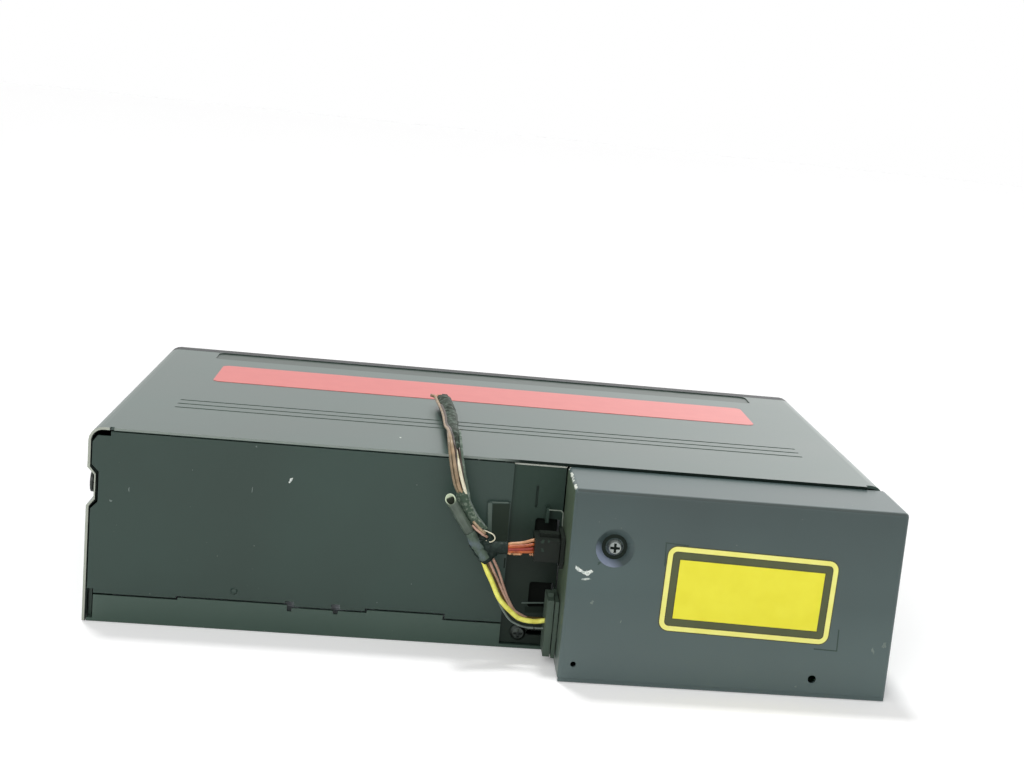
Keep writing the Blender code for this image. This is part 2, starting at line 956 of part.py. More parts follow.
def socket(name, z, flange_height_here):
    """A shrouded header through the housing's side wall; its mouth points to +X."""
    y = y_rear + socket_y
    half_y = socket_width / 2
    half_z = socket_height / 2
    back = x_socket_board + seat_gap
    face = x_housing + seat_gap + socket_flange
    body = block(back, y - half_y, z - half_z, face, y + half_y, z + half_z)
    made = piece(name, body, black_plastic)
    rim = socket_flange_rim
    low = z - flange_height_here / 2
    flange = block(
        x_housing + seat_gap, y - half_y - rim, low, face, y + half_y + rim, low + flange_height_here
    )
    join(made, flange)
    mouth = block(
        face - socket_depth,
        y - half_y + socket_wall,
        z - half_z + socket_wall,
        face + cut_overrun,
        y + half_y - socket_wall,
        z + half_z - socket_wall,
    )
    cut(made, mouth)
    return face


def plug(name, z, face, body_length, body_height):
    """The harness connector in a socket: a tongue in the shroud and a body outside."""
    y = y_rear + socket_y
    half_y = socket_width / 2
    half_z = body_height / 2
    start = face + seat_gap
    body = block(
        start, y - half_y - plug_rim, z - half_z, start + body_length, y + half_y + plug_rim, z + half_z
    )
    made = piece(name, body, black_plastic)
    inset = socket_wall + seat_gap
    tongue = block(
        face - socket_depth + seat_gap,
        y - half_y + inset,
        z - socket_height / 2 + inset,
        start + body_length / 2,
        y + half_y - inset,
        z + socket_height / 2 - inset,
    )
    join(made, tongue)
    latch = block(
        start,
        y - half_y / 3,
        z + half_z - latch_height / 2,
        start + body_length * 0.8,
        y + half_y / 3,
        z + half_z + latch_height,
    )
    join(made, latch)
    return start + body_length


upper_face = socket("upper_socket", upper_socket_z, socket_height + 2 * socket_flange_rim)
lower_face = socket("lower_socket", lower_socket_z, lower_flange_height)
upper_plug_end = plug("upper_plug", upper_socket_z, upper_face, plug_body, socket_height)
lower_plug_end = plug("lower_plug", lower_socket_z, lower_face, lower_plug_body, lower_flange_height)


# Front bezel
opening_base = magazine_base - seat_gap
opening_top = magazine_base + magazine_height + seat_gap
opening_left = x_magazine - seat_gap
opening_right = x_magazine_end + seat_gap
door_base = opening_base - door_margin
door_top = opening_top + door_margin
shelf_z = button_z - button_height / 2 - button_flange - seat_gap
switch_y = y_front + bezel_thickness + seat_gap + button_flange_thickness + button_stem_length
switch_y = switch_y + button_travel + seat_gap


def front_bezel():
    face = rounded(-half_width, 0, half_width, case_height, cover_bend, 5)
    opening = rectangle(opening_left, opening_base, opening_right, opening_top)
    half_w = button_width / 2 + bearing_gap
    half_h = button_height / 2 + bearing_gap
    button_hole = rounded(
        button_x - half_w, button_z - half_h, button_x + half_w, button_z + half_h, sheet
    )
    back = y_front + bezel_thickness
    depth = lip_y + rail_thickness - y_front
    frame = upright(0, lip_y + rail_thickness, 0)
    bezel = piece("front_bezel", flat([face], depth), black_plastic, frame)
    hollow = block(
        bezel_wall - half_width,
        back,
        bezel_wall,
        half_width - bezel_wall,
        back + depth,
        case_height - bezel_wall,
    )
    cut(bezel, hollow)
    for hole in (opening, button_hole):
        cut(bezel, flat([hole], bezel_thickness + 2 * cut_overrun), upright(0, back + cut_overrun, 0))
    tab_end = inner_x - sheet - seat_gap - cover_bend
    tab_back = back + bezel_tab_depth
    start = back - bezel_thickness / 2
    upper = case_height - sheet - seat_gap
    lower = floor_top + seat_gap
    join(bezel, block(-tab_end, start, upper - bezel_tab_thickness, tab_end, tab_back, upper))
    join(bezel, block(-tab_end, start, lower, tab_end, tab_back, lower + bezel_tab_thickness))
    rail_end = inner_x - sheet - seat_gap
    for edge, away in ((door_base, -1), (door_top, 1)):
        near = edge + away * seat_gap
        far = near + away * rail_thickness
        rail = [
            (start, far),
            (start, near),
            (lip_y, near),
            (lip_y, near - away * rail_lip),
            (lip_y + rail_thickness, near - away * rail_lip),
            (lip_y + rail_thickness, far),
        ]
        if away > 0:
            rail = rail[::-1]
        join(bezel, flat([rail], 2 * rail_end), sideways(-rail_end, 0, 0))
    half_s = switch_width / 2
    shelf = block(
        button_x - half_s,
        start,
        shelf_z - shelf_thickness,
        button_x + half_s,
        switch_y + switch_depth,
        shelf_z,
    )
    join(bezel, shelf)
    wall = block(
        button_x - half_s,
        switch_y + switch_depth + seat_gap,
        shelf_z - shelf_thickness,
        button_x + half_s,
        switch_y + switch_depth + seat_gap + shelf_thickness,
        shelf_z + switch_height,
    )
    join(bezel, wall)
    floor_link = block(
        button_x - half_s,
        switch_y + switch_depth - shelf_thickness,
        shelf_z - shelf_thickness,
        button_x + half_s,
        switch_y + switch_depth + seat_gap + shelf_thickness,
        shelf_z,
    )
    join(bezel, floor_link)
    return bezel


front_bezel()


# Sliding door
door_travel = opening_right + door_overlap - opening_left
door_left = opening_right
door_right = door_left + door_travel + door_overlap


def sliding_door():
    """The door at rest is open, behind the right half of the bezel."""
    outline = rectangle(door_left, door_base, door_right, door_top)
    door = piece(
        "sliding_door",
        flat([outline], door_thickness),
        black_plastic,
        upright(0, door_y + door_thickness, 0),
    )
    for i in range(door_rib_count):
        x = door_left + door_rib_pitch * (i + 1)
        groove = block(
            x - door_rib_width / 2,
            door_y - cut_overrun,
            door_base + door_rib_pitch * 2,
            x + door_rib_width / 2,
            door_y + door_rib_depth,
            door_top - door_rib_pitch * 2,
        )
        cut(door, groove)
    return door


sliding_door()


# Eject button and its switch
def eject_button():
    back = y_front + bezel_thickness
    cap = rounded(
        button_x - button_width / 2,
        button_z - button_height / 2,
        button_x + button_width / 2,
        button_z + button_height / 2,
        sheet * 0.7,
    )
    button = piece(
        "eject_button",
        flat([cap], bezel_thickness + seat_gap + button_flange_thickness),
        grey_plastic,
        upright(0, back + seat_gap + button_flange_thickness, 0),
    )
    flange = rectangle(
        button_x - button_width / 2 - button_flange,
        button_z - button_height / 2 - button_flange,
        button_x + button_width / 2 + button_flange,
        button_z + button_height / 2 + button_flange,
    )
    join(
        button,
        flat([flange], button_flange_thickness),
        upright(0, back + seat_gap + button_flange_thickness, 0),
    )
    stem_start = back + seat_gap
    frame = axes((button_x, stem_start, button_z), (-1, 0, 0), (0, 0, 1))
    join(button, rod(button_stem_radius, button_flange_thickness + button_stem_length, 16), frame)
    half_s = switch_width / 2 - seat_gap
    body = block(
        button_x - half_s,
        switch_y,
        shelf_z + seat_gap,
        button_x + half_s,
        switch_y + switch_depth - seat_gap,
        shelf_z + switch_height - seat_gap,
        sheet / 4,
    )
    piece("eject_switch", body, grey_plastic)


eject_button()


# Suspension angle dials
def angle_dial(name, side):
    """A slotted dial in the cover's pressed channel, with its washer inside the wall."""
    face = half_width - channel_depth
    frame = axes((side * face, dial_y, dial_z), (0, side, 0), (0, 0, 1))
    profile = [
        (0, dial_proud),
        (dial_radius - seat_gap, dial_proud),
        (dial_radius, dial_proud - seat_gap),
        (dial_radius, seat_gap / 2),
        (dial_stem_radius, seat_gap / 2),
        (dial_stem_radius, -sheet - seat_gap / 2),
        (dial_washer_radius, -sheet - seat_gap / 2),
        (dial_washer_radius, -sheet - seat_gap / 2 - dial_washer),
        (0, -sheet - seat_gap / 2 - dial_washer),
    ]
    dial = piece(name, turned(profile, 24), grey_plastic, frame)
    groove = block(
        -dial_radius - cut_overrun,
        -dial_slot_width / 2,
        dial_proud - dial_slot_depth,
        dial_radius + cut_overrun,
        dial_slot_width / 2,
        dial_proud + cut_overrun,
    )
    cut(dial, groove, frame)


angle_dial("angle_dial_left", 1)
angle_dial("angle_dial_right", -1)


# Mechanism chassis
y_chassis_front = magazine_y
y_front_flange = swing_front - player_sheet
front_wall = y_front_flange - wall_gap
rear_flange = swing_rear + swing_margin / 2
rear_wall = rear_flange + player_sheet + wall_gap
x_chassis_left = x_magazine - seat_gap - chassis_left_sheet
x_bay = x_magazine_end + chassis_bay
z_shaft = cam_base - gear_module * pinion_teeth / 2
wheel_radius = gear_module * wheel_teeth / 2
motor_reach = gear_module * (wheel_teeth + motor_teeth) / 2
motor_x = shaft_x + motor_reach * math.cos(motor_angle)
motor_z = z_shaft + motor_reach * math.sin(motor_angle)
slot_radius = pin_radius + slot_gap
motor_wall_y = wheel_y + wheel_width / 2 + motor_wall_gap


def mechanism_chassis():
    """One folded steel tray: floor, magazine wall, two slotted cam walls and the motor wall."""
    y_end = y_magazine_end + seat_gap + chassis_sheet
    well = wheel_radius + 2 * gear_module
    well_hole = rectangle(
        shaft_x - well,
        wheel_y - wheel_width / 2 - motor_wall_gap,
        shaft_x + well,
        wheel_y + wheel_width / 2 + motor_wall_gap / 2,
    )
    lap = chassis_sheet / 4
    floor = rectangle(x_chassis_left + lap, y_chassis_front + lap, chassis_right - lap, y_end - lap)
    chassis = piece(
        "mechanism_chassis",
        flat([floor, well_hole], chassis_sheet),
        zinc_steel,
        level(0, 0, chassis_base),
    )
    roof = magazine_base + magazine_height + seat_gap
    wall_base = chassis_base + lap
    left = rectangle(y_chassis_front, wall_base, y_end - lap / 2, roof + chassis_sheet - lap)
    join(chassis, flat([left], chassis_left_sheet), sideways(x_chassis_left, 0, 0))
    lip = rectangle(x_chassis_left + lap, y_chassis_front + lap, x_chassis_left + guide_lip, y_end - lap)
    join(chassis, flat([lip], chassis_sheet), level(0, 0, roof))
    stop_top = roof + chassis_sheet - lap / 2
    stop = rectangle(x_chassis_left + lap / 2, wall_base + lap, x_magazine_end, stop_top)
    join(chassis, flat([stop], chassis_sheet), upright(0, y_end, 0))
    shaft_hole = shaft_radius + bearing_gap
    holes = [circle(shaft_x, z_shaft, shaft_hole, 20)]
    for x in (pin_near, pin_far):
        holes.append(slot(x, pin_height, x, pin_height + lift_height, slot_radius + slot_gap, 4))
    wall = rectangle(x_bay, wall_base, chassis_right - lap / 2, chassis_wall_top)
    for y in (front_wall, rear_wall + chassis_sheet):
        join(chassis, flat([wall, *holes], chassis_sheet), upright(0, y, 0))
    y_stud_front = front_wall - chassis_sheet - wall_gap - cam_thickness - pin_overhang
    stud_length = chassis_sheet / 2 + wall_gap + cam_thickness + pin_overhang
    for y in (y_stud_front, rear_wall + chassis_sheet / 2):
        frame = axes((guide_stud_x, y, guide_stud_height), (-1, 0, 0), (0, 0, 1))
        join(chassis, rod(pin_radius, stud_length, 16), frame)
    side = rectangle(
        front_wall - chassis_sheet + lap,
        wall_base + lap,
        rear_wall + chassis_sheet - lap,
        chassis_top * 2,
    )
    join(chassis, flat([side], chassis_sheet), sideways(chassis_right - chassis_sheet, 0, 0))
    motor_top = motor_z + lift_motor_radius + chassis_sheet
    motor_wall = rectangle(
        shaft_x - motor_wall_width, wall_base, chassis_right - lap / 2, motor_top
    )
    bores = [
        circle(shaft_x, z_shaft, shaft_hole, 20),
        circle(motor_x, motor_z, motor_shaft_radius * 2, 16),
    ]
    join(
        chassis,
        flat([motor_wall, *bores], chassis_sheet),
        upright(0, motor_wall_y + chassis_sheet, 0),
    )
    return chassis


mechanism_chassis()


def dampers():
    """Rubber feet between the bottom plate and the chassis."""
    profile = [
        (0, damper_height),
        (damper_radius, damper_height),
        (damper_radius, damper_height * 0.75),
        (damper_waist, damper_height * 0.5),
        (damper_radius, damper_height * 0.25),
        (damper_radius, 0),
        (0, 0),
    ]
    foot = turned(profile, 20)
    y_near = y_front + bezel_thickness + bezel_tab_depth + damper_radius + damper_inset / 3
    y_far = y_rear - damper_inset
    for name, x, y in (
        ("damper_front_left", half_width - damper_inset, y_near),
        ("damper_front_right", damper_inset - half_width, y_near),
        ("damper_rear_left", half_width - damper_inset, y_far),
        ("damper_rear_right", damper_inset - half_width, y_far),
    ):
        piece(name, foot, rubber, level(x, y, floor_top + seat_gap))


dampers()


def magazine_guide():
    """A plastic channel that carries the magazine above the chassis floor."""
    top = magazine_base - seat_gap
    base = chassis_top + seat_gap
    x0 = x_magazine
    x1 = x_magazine_end
    leg = chassis_sheet * 1.5
    section = [
        (x0, base),
        (x0 + leg, base),
        (x0 + leg, top - leg),
        (x1 - leg, top - leg),
        (x1 - leg, base),
        (x1, base),
        (x1, top),
        (x0, top),
    ]
    length = y_magazine_end - magazine_y
    frame = upright(0, y_magazine_end, 0)
    piece("magazine_guide", flat([section], length), black_plastic, frame)


magazine_guide()


# Magazine and its trays
tray_axis = axis_empty("tray_axis", level(x_pivot, y_pivot, first_tray))


def magazine_shell():
    body = block(
        x_magazine,
        magazine_y,
        magazine_base,
        x_magazine_end,
        y_magazine_end,
        magazine_base + magazine_height,
    )
    shell = piece("magazine_shell", body, black_plastic)
    x_in = x_magazine + magazine_wall
    x_post = x_pivot + ear_half_width + seat_gap * 2
    y_in = magazine_y + magazine_front
    y_post = y_pivot + post_back
    y_out = y_magazine_end - magazine_end_wall
    x_out = x_magazine_end + cut_overrun
    room = [
        (x_in, y_in),
        (x_out, y_in),
        (x_out, y_post),
        (x_post, y_post),
        (x_post, y_out),
        (x_in, y_out),
    ]
    slots = [flat([room], cavity_height) for _ in range(tray_count)]
    for i, gap in enumerate(slots):
        gap.transform(Matrix.Translation((0, 0, magazine_base + magazine_floor + i * tray_pitch)))
    cut(shell, together(slots))
    bore = rod(pivot_pin_radius + bearing_gap, magazine_height + 2 * cut_overrun, 20)
    cut(shell, bore, level(x_pivot, y_pivot, magazine_base - cut_overrun))
    grip_x = (x_magazine + x_magazine_end) / 2
    grip_z = magazine_base + magazine_height / 2
    grip = block(
        grip_x - grip_width / 2,
        magazine_y - cut_overrun,
        grip_z - grip_height / 2,
        grip_x + grip_width / 2,
        magazine_y + grip_depth,
        grip_z + grip_height / 2,
    )
    cut(shell, grip)
    return shell


magazine_shell()
piece(
    "tray_pivot_pin",
    rod(pivot_pin_radius, magazine_height, 16),
    bright_steel,
    level(x_pivot, y_pivot, magazine_base),
)


def tray_mesh():
    """One tray, drawn about its pivot: a C that opens where the clamp arm reaches in."""
    cx = -tray_side
    cy = -tray_back
    towards = math.atan2(cy, cx)
    disc = flat([circle(cx, cy, tray_radius, 64)], tray_thickness)
    tray = piece("tray_pattern", disc, black_plastic)
    length = swing_radius - tray_radius / 2
    ear = slot(0, 0, length * math.cos(towards), length * math.sin(towards), ear_half_width, 8)
    join(tray, flat([ear], tray_thickness))
    recess = flat([circle(cx, cy, tray_radius - tray_rim, 64)], tray_thickness + cut_overrun)
    cut(tray, recess, level(0, 0, tray_floor))
    pin_hole = circle(0, 0, pivot_pin_radius + bearing_gap, 20)
    cut(tray, flat([pin_hole], tray_thickness * 3), level(0, 0, -tray_thickness))
    sweep = math.asin(tray_radius / (2 * swing_radius)) * 2 + hub_clear_radius / swing_radius
    inner = arc(0, 0, swing_radius - hub_clear_radius, towards, towards + sweep, 12)
    outer = arc(0, 0, swing_radius + hub_clear_radius, towards + sweep, towards, 12)
    start = towards + math.pi
    round_end = [
        (cx + hub_clear_radius * math.cos(a), cy + hub_clear_radius * math.sin(a))
        for a in [start - math.pi - math.pi * i / 12 for i in range(1, 12)]
    ]
    mouth = outer + round_end + inner
    cut(tray, flat([mouth], tray_thickness * 3), level(0, 0, -tray_thickness))
    graph = bpy.context.evaluated_depsgraph_get()
    made = bpy.data.meshes.new_from_object(tray.evaluated_get(graph))
    bpy.data.objects.remove(tray, do_unlink=True)
    return made


shared_tray = tray_mesh()
for i in range(tray_count):
    piece(
        f"disc_tray_{i + 1}",
        shared_tray,
        black_plastic,
        level(x_pivot, y_pivot, first_tray + i * tray_pitch),
        tray_axis,
    )


# Lifting player
lift_axis = axis_empty("lift_axis", level(x_player, y_player, player_top))
reach_x = math.cos(mouth_angle)
reach_y = math.sin(mouth_angle)
sled_frame = axes((x_player, y_player, player_top), (reach_x, reach_y, 0), (-reach_y, reach_x, 0))
rod_z = -player_sheet - rod_drop
sled_start = sled_inner - sled_length * lens_share
sled_end = sled_start + sled_length + sled_travel
lens_slot_end = max(sled_end, sled_inner + sled_travel + lens_holder_radius + seat_gap)
rod_from = sled_start - seat_gap * 2 - bracket_thickness
rod_to = sled_end + seat_gap * 2 + bracket_thickness
clamper_base = turntable_lift + turntable_thickness + disc_thickness + clamper_rest
arm_base = clamper_base + clamper_height + clamper_gap
hinge_z = arm_base + arm_thickness / 2


def local(mesh):
    """A mesh drawn in the sled's frame, with its frame."""
    return mesh, sled_frame


def elevator_frame():
    """The player's base plate, with its lift pins, rod brackets and clamp hinge ears."""
    flange_from = pin_near - player_flange_end
    flange_to = pin_far + player_flange_end
    y0 = y_front_flange
    y1 = rear_flange + player_sheet
    outline = [
        (player_left, y0),
        (player_right, y0),
        (player_right, y_player - player_shoulder),
        (player_wide, y_player - player_shoulder / 2),
        (player_wide, y1),
        (player_left, y1),
    ]
    frame = piece(
        "elevator_frame",
        flat([outline], player_sheet),
        zinc_steel,
        level(0, 0, player_base),
        lift_axis,
    )
    top = pin_height + player_flange_height / 2
    wall = rectangle(flange_from, player_base, flange_to, top)
    for y in (y0 + player_sheet, y1):
        join(frame, flat([wall], player_sheet), upright(0, y, 0))
    reach = wall_gap + chassis_sheet + wall_gap + cam_thickness + pin_overhang + player_sheet / 2
    for x in (pin_near, pin_far):
        front = axes((x, y0 + player_sheet / 2 - reach, pin_height), (-1, 0, 0), (0, 0, 1))
        rear = axes((x, y1 - player_sheet / 2, pin_height), (-1, 0, 0), (0, 0, 1))
        join(frame, rod(pin_radius, reach, 16), front)
        join(frame, rod(pin_radius, reach, 16), rear)
    half = sled_slot_width / 2
    spindle = rod(spindle_radius + bearing_gap * 2, player_sheet + 2 * cut_overrun, 16)
    cut(frame, spindle, sled_frame @ Matrix.Translation((0, 0, -player_sheet - cut_overrun)))
    low = rod_z - rod_radius - bracket_thickness
    outer = rod_spacing / 2 + rod_radius + bracket_thickness / 2
    screw_side = -screw_offset - rod_radius - bracket_thickness
    for s in (rod_from, rod_to - bracket_thickness):
        bracket = block(s, screw_side, low, s + bracket_thickness, outer, -player_sheet / 2)
        join(frame, *local(bracket))
    opening = rounded(sled_start, -half, lens_slot_end, half, sheet)
    gap_cut = flat([opening], player_sheet + 2 * cut_overrun)
    cut(frame, gap_cut, sled_frame @ Matrix.Translation((0, 0, -player_sheet - cut_overrun)))
    for side in (-1, 1):
        bore = rod(rod_radius + bearing_gap, rod_to - rod_from + 2 * cut_overrun, 16)
        along = axes((rod_from - cut_overrun, side * rod_spacing / 2, rod_z), (0, 1, 0), (0, 0, 1))
        cut(frame, bore, sled_frame @ along)
    bore = rod(rod_radius + bearing_gap, rod_to - rod_from + 2 * cut_overrun, 16)
    along = axes((rod_from - cut_overrun, -screw_offset, rod_z), (0, 1, 0), (0, 0, 1))
    cut(frame, bore, sled_frame @ along)
    half_ear = hinge_ear_width / 2
    for side in (-1, 1):
        inner = side * (arm_width / 2 + seat_gap)
        outer = inner + side * hinge_ear_thickness
        ear = block(
            arm_reach - half_ear,
            min(inner, outer),
            -player_sheet / 2,
            arm_reach + half_ear,
            max(inner, outer),
            hinge_z + half_ear,
        )
        join(frame, *local(ear))
    pin_hole = rod(pin_radius + bearing_gap, arm_width * 2, 16)
    across = axes((arm_reach, arm_width, hinge_z), (1, 0, 0), (0, 0, 1))
    cut(frame, pin_hole, sled_frame @ across)
    return frame


elevator_frame()


def spindle_and_turntable():
    base = -player_sheet - seat_gap - spindle_motor_height
    motor = turned(
        [
            (0, spindle_motor_height),
            (spindle_motor_radius - sheet, spindle_motor_height),
            (spindle_motor_radius, spindle_motor_height - sheet),
            (spindle_motor_radius, 0),
            (0, 0),
        ],
        32,
    )
    frame = sled_frame @ Matrix.Translation((0, 0, base))
    piece("spindle_motor", motor, zinc_steel, frame, lift_axis)
    profile = [
        (0, turntable_thickness + cone_height),
        (cone_top_radius, turntable_thickness + cone_height),
        (cone_radius, turntable_thickness),
        (turntable_radius, turntable_thickness),
        (turntable_radius, turntable_thickness / 2),
        (turntable_radius * 0.7, 0),
        (spindle_radius, 0),
        (spindle_radius, -turntable_lift - player_sheet - player_drop * 0.1),
        (0, -turntable_lift - player_sheet - player_drop * 0.1),
    ]
    frame = sled_frame @ Matrix.Translation((0, 0, turntable_lift))
    piece("turntable", turned(profile, 32), black_plastic, frame, lift_axis)


spindle_and_turntable()


def pickup():
    half = sled_width / 2
    top = -player_sheet - seat_gap
    body = block(
        sled_start,
        -rod_spacing / 2 - rod_radius * 2,
        top - sled_height,
        sled_start + sled_length,
        rod_spacing / 2 + rod_radius * 2,
        top,
        sheet / 2,
    )
    sled = piece("pickup_sled", body, black_plastic, sled_frame, lift_axis)
    waist = block(
        sled_start - cut_overrun,
        -half,
        top - sled_height - cut_overrun,
        sled_start + sled_length / 5,
        half,
        top + cut_overrun,
    )
    cut(sled, waist, sled_frame)
    for side in (-1, 1):
        bore = rod(rod_radius + bearing_gap, sled_length + 2 * cut_overrun, 16)
        along = axes((sled_start - cut_overrun, side * rod_spacing / 2, rod_z), (0, 1, 0), (0, 0, 1))
        cut(sled, bore, sled_frame @ along)
    nut = block(
        sled_inner - bracket_thickness,
        -screw_offset - rod_radius * 2,
        rod_z - rod_radius * 1.8,
        sled_inner + bracket_thickness,
        -rod_spacing / 2 - rod_radius - bearing_gap * 2,
        rod_z + rod_radius * 1.6,
    )
    join(sled, nut, sled_frame)
    bore = rod(rod_radius + bearing_gap, bracket_thickness * 4, 16)
    along = axes((sled_inner - bracket_thickness * 2, -screw_offset, rod_z), (0, 1, 0), (0, 0, 1))
    cut(sled, bore, sled_frame @ along)
    profile = [
        (0, lens_height),
        (lens_radius * 0.5, lens_height * 0.93),
        (lens_radius, lens_height * 0.7),
        (lens_holder_radius, lens_height * 0.7),
        (lens_holder_radius, 0),
        (0, 0),
    ]
    spot = sled_frame @ Matrix.Translation((sled_inner, 0, top + seat_gap))
    piece("objective_lens", turned(profile, 24), lens_glass, spot, lift_axis)


pickup()


def rods_and_lead_screw():
    length = rod_to - rod_from
    for name, offset in (("guide_rod_left", rod_spacing / 2), ("guide_rod_right", -rod_spacing / 2)):
        along = axes((rod_from, offset, rod_z), (0, 1, 0), (0, 0, 1))
        piece(name, rod(rod_radius, length, 16), bright_steel, sled_frame @ along, lift_axis)
    start = rod_from - seat_gap
    along = axes((start, -screw_offset, rod_z), (0, 1, 0), (0, 0, 1))
    screw = rod(rod_radius, length + seat_gap, 16)
    piece("lead_screw", screw, bright_steel, sled_frame @ along, lift_axis)
    motor_from = start - seat_gap - sled_motor_length
    along = axes((motor_from, -screw_offset, rod_z), (0, 1, 0), (0, 0, 1))
    body = rod(sled_motor_radius, sled_motor_length, 24)
    piece("sled_motor", body, zinc_steel, sled_frame @ along, lift_axis)


rods_and_lead_screw()


def clamp():
    half = arm_width / 2
    beam_half = half - sheet
    open_angle = math.asin(beam_half / arm_ring_radius)
    edge = arc(0, 0, arm_ring_radius, open_angle, math.tau - open_angle, 28)
    edge += [(arm_reach, -beam_half), (arm_reach, beam_half)]
    hole = circle(0, 0, arm_hole_radius, 24)
    window = rounded(arm_ring_radius + half / 2, -half / 2, arm_reach - half, half / 2, sheet)
    base = sled_frame @ Matrix.Translation((0, 0, arm_base))
    arm = piece("clamp_arm", flat([edge, hole, window], arm_thickness), zinc_steel, base, lift_axis)
    barrel_half = half - seat_gap * 2
    ring = [circle(0, 0, pin_radius * 2, 20), circle(0, 0, pin_radius + bearing_gap, 16)]
    barrel = flat(ring, 2 * barrel_half)
    across = axes((arm_reach, barrel_half, hinge_z), (1, 0, 0), (0, 0, 1))
    join(arm, barrel, sled_frame @ across)
    bore = rod(pin_radius + bearing_gap, 2 * barrel_half - seat_gap, 16)
    inside = axes((arm_reach, barrel_half - seat_gap / 2, hinge_z), (1, 0, 0), (0, 0, 1))
    cut(arm, bore, sled_frame @ inside)
    pin_half = half + hinge_ear_thickness + seat_gap * 3
    across = axes((arm_reach, pin_half, hinge_z), (1, 0, 0), (0, 0, 1))
    piece(
        "clamp_hinge_pin", rod(pin_radius, 2 * pin_half, 16), bright_steel, sled_frame @ across, lift_axis
    )
    neck_top = clamper_height + clamper_gap + arm_thickness + clamper_gap
    profile = [
        (0, neck_top + clamper_cap_height),
        (clamper_cap_radius, neck_top + clamper_cap_height),
        (clamper_cap_radius, neck_top),
        (clamper_neck_radius, neck_top),
        (clamper_neck_radius, clamper_height),
        (clamper_radius, clamper_height),
        (clamper_radius, 0),
        (cone_radius + clamper_gap, 0),
        (cone_radius + clamper_gap, clamper_recess),
        (0, clamper_recess),
    ]
    spot = sled_frame @ Matrix.Translation((0, 0, clamper_base))
    piece("clamper", turned(profile, 24), white_plastic, spot, lift_axis)


clamp()


# Cam plates and their drive
def gear_outline(teeth):
    """A spur gear about its centre, with a tooth at angle zero, from the involute of its base circle."""
    pitch = gear_module * teeth / 2
    pressure = math.radians(20)
    base = pitch * math.cos(pressure)
    root = pitch - gear_module * 1.15
    tip = pitch + gear_module * 0.8
    half_tooth = (math.pi * gear_module / 2 - backlash) / 2 / pitch
    flank = [root, max(base, root + gear_module / 10), pitch, tip]
    points = []
    for i in range(teeth):
        centre = math.tau * i / teeth
        sides = []
        for r in flank:
            roll = math.acos(min(1.0, base / r))
            spread = math.tan(pressure) - pressure - (math.tan(roll) - roll)
            sides.append((r, half_tooth + spread))
        for r, half in sides:
            points.append((r * math.cos(centre - half), r * math.sin(centre - half)))
        for r, half in reversed(sides):
            points.append((r * math.cos(centre + half), r * math.sin(centre + half)))
    return points


def rack_teeth(start, end, z_pitch, x_space):
    """The lower edge of a cam plate from start to end, with a tooth space centred on x_space."""
    pitch = math.pi * gear_module
    slope = math.tan(math.radians(20))
    addendum = gear_module * 0.8
    dedendum = gear_module * 1.15
    half = (pitch / 2 - backlash) / 2
    points = []
    first = math.ceil((start - x_space) / pitch)
    last = math.floor((end - x_space) / pitch) - 1
    for i in range(first, last + 1):
        centre = x_space + (i + 0.5) * pitch
        points.append((centre - half - dedendum * slope, z_pitch + dedendum))
        points.append((centre - half + addendum * slope, z_pitch - addendum))
        points.append((centre + half - addendum * slope, z_pitch - addendum))
        points.append((centre + half + dedendum * slope, z_pitch + dedendum))
    return points


def cam_plate(name, y):
    """A sliding plate with two lift slots, a guide slot and a rack along its lower edge."""
    x0 = pin_near - cam_end
    x1 = shaft_x + cam_travel + cam_end
    rack_from = shaft_x - 3 * gear_module * math.pi
    lower = rack_teeth(rack_from, x1, cam_base, shaft_x)
    rack_base = lower[0][1]
    outline = [(x0, rack_base), *lower, (x1, rack_base), (x1, cam_top), (x0, cam_top)]
    slots = []
    for x in (pin_near, pin_far):
        slots.append(slot(x, pin_height, x + cam_travel, pin_height + lift_height, slot_radius))
    stud = guide_stud_x
    slots.append(slot(stud, guide_stud_height, stud + cam_travel, guide_stud_height, slot_radius))
    piece(name, flat([outline, *slots], cam_thickness), bright_steel, upright(0, y, 0))


front_cam_y = front_wall - chassis_sheet - wall_gap
rear_cam_y = rear_wall + chassis_sheet + wall_gap + cam_thickness
cam_plate("cam_plate_front", front_cam_y)
cam_plate("cam_plate_rear", rear_cam_y)


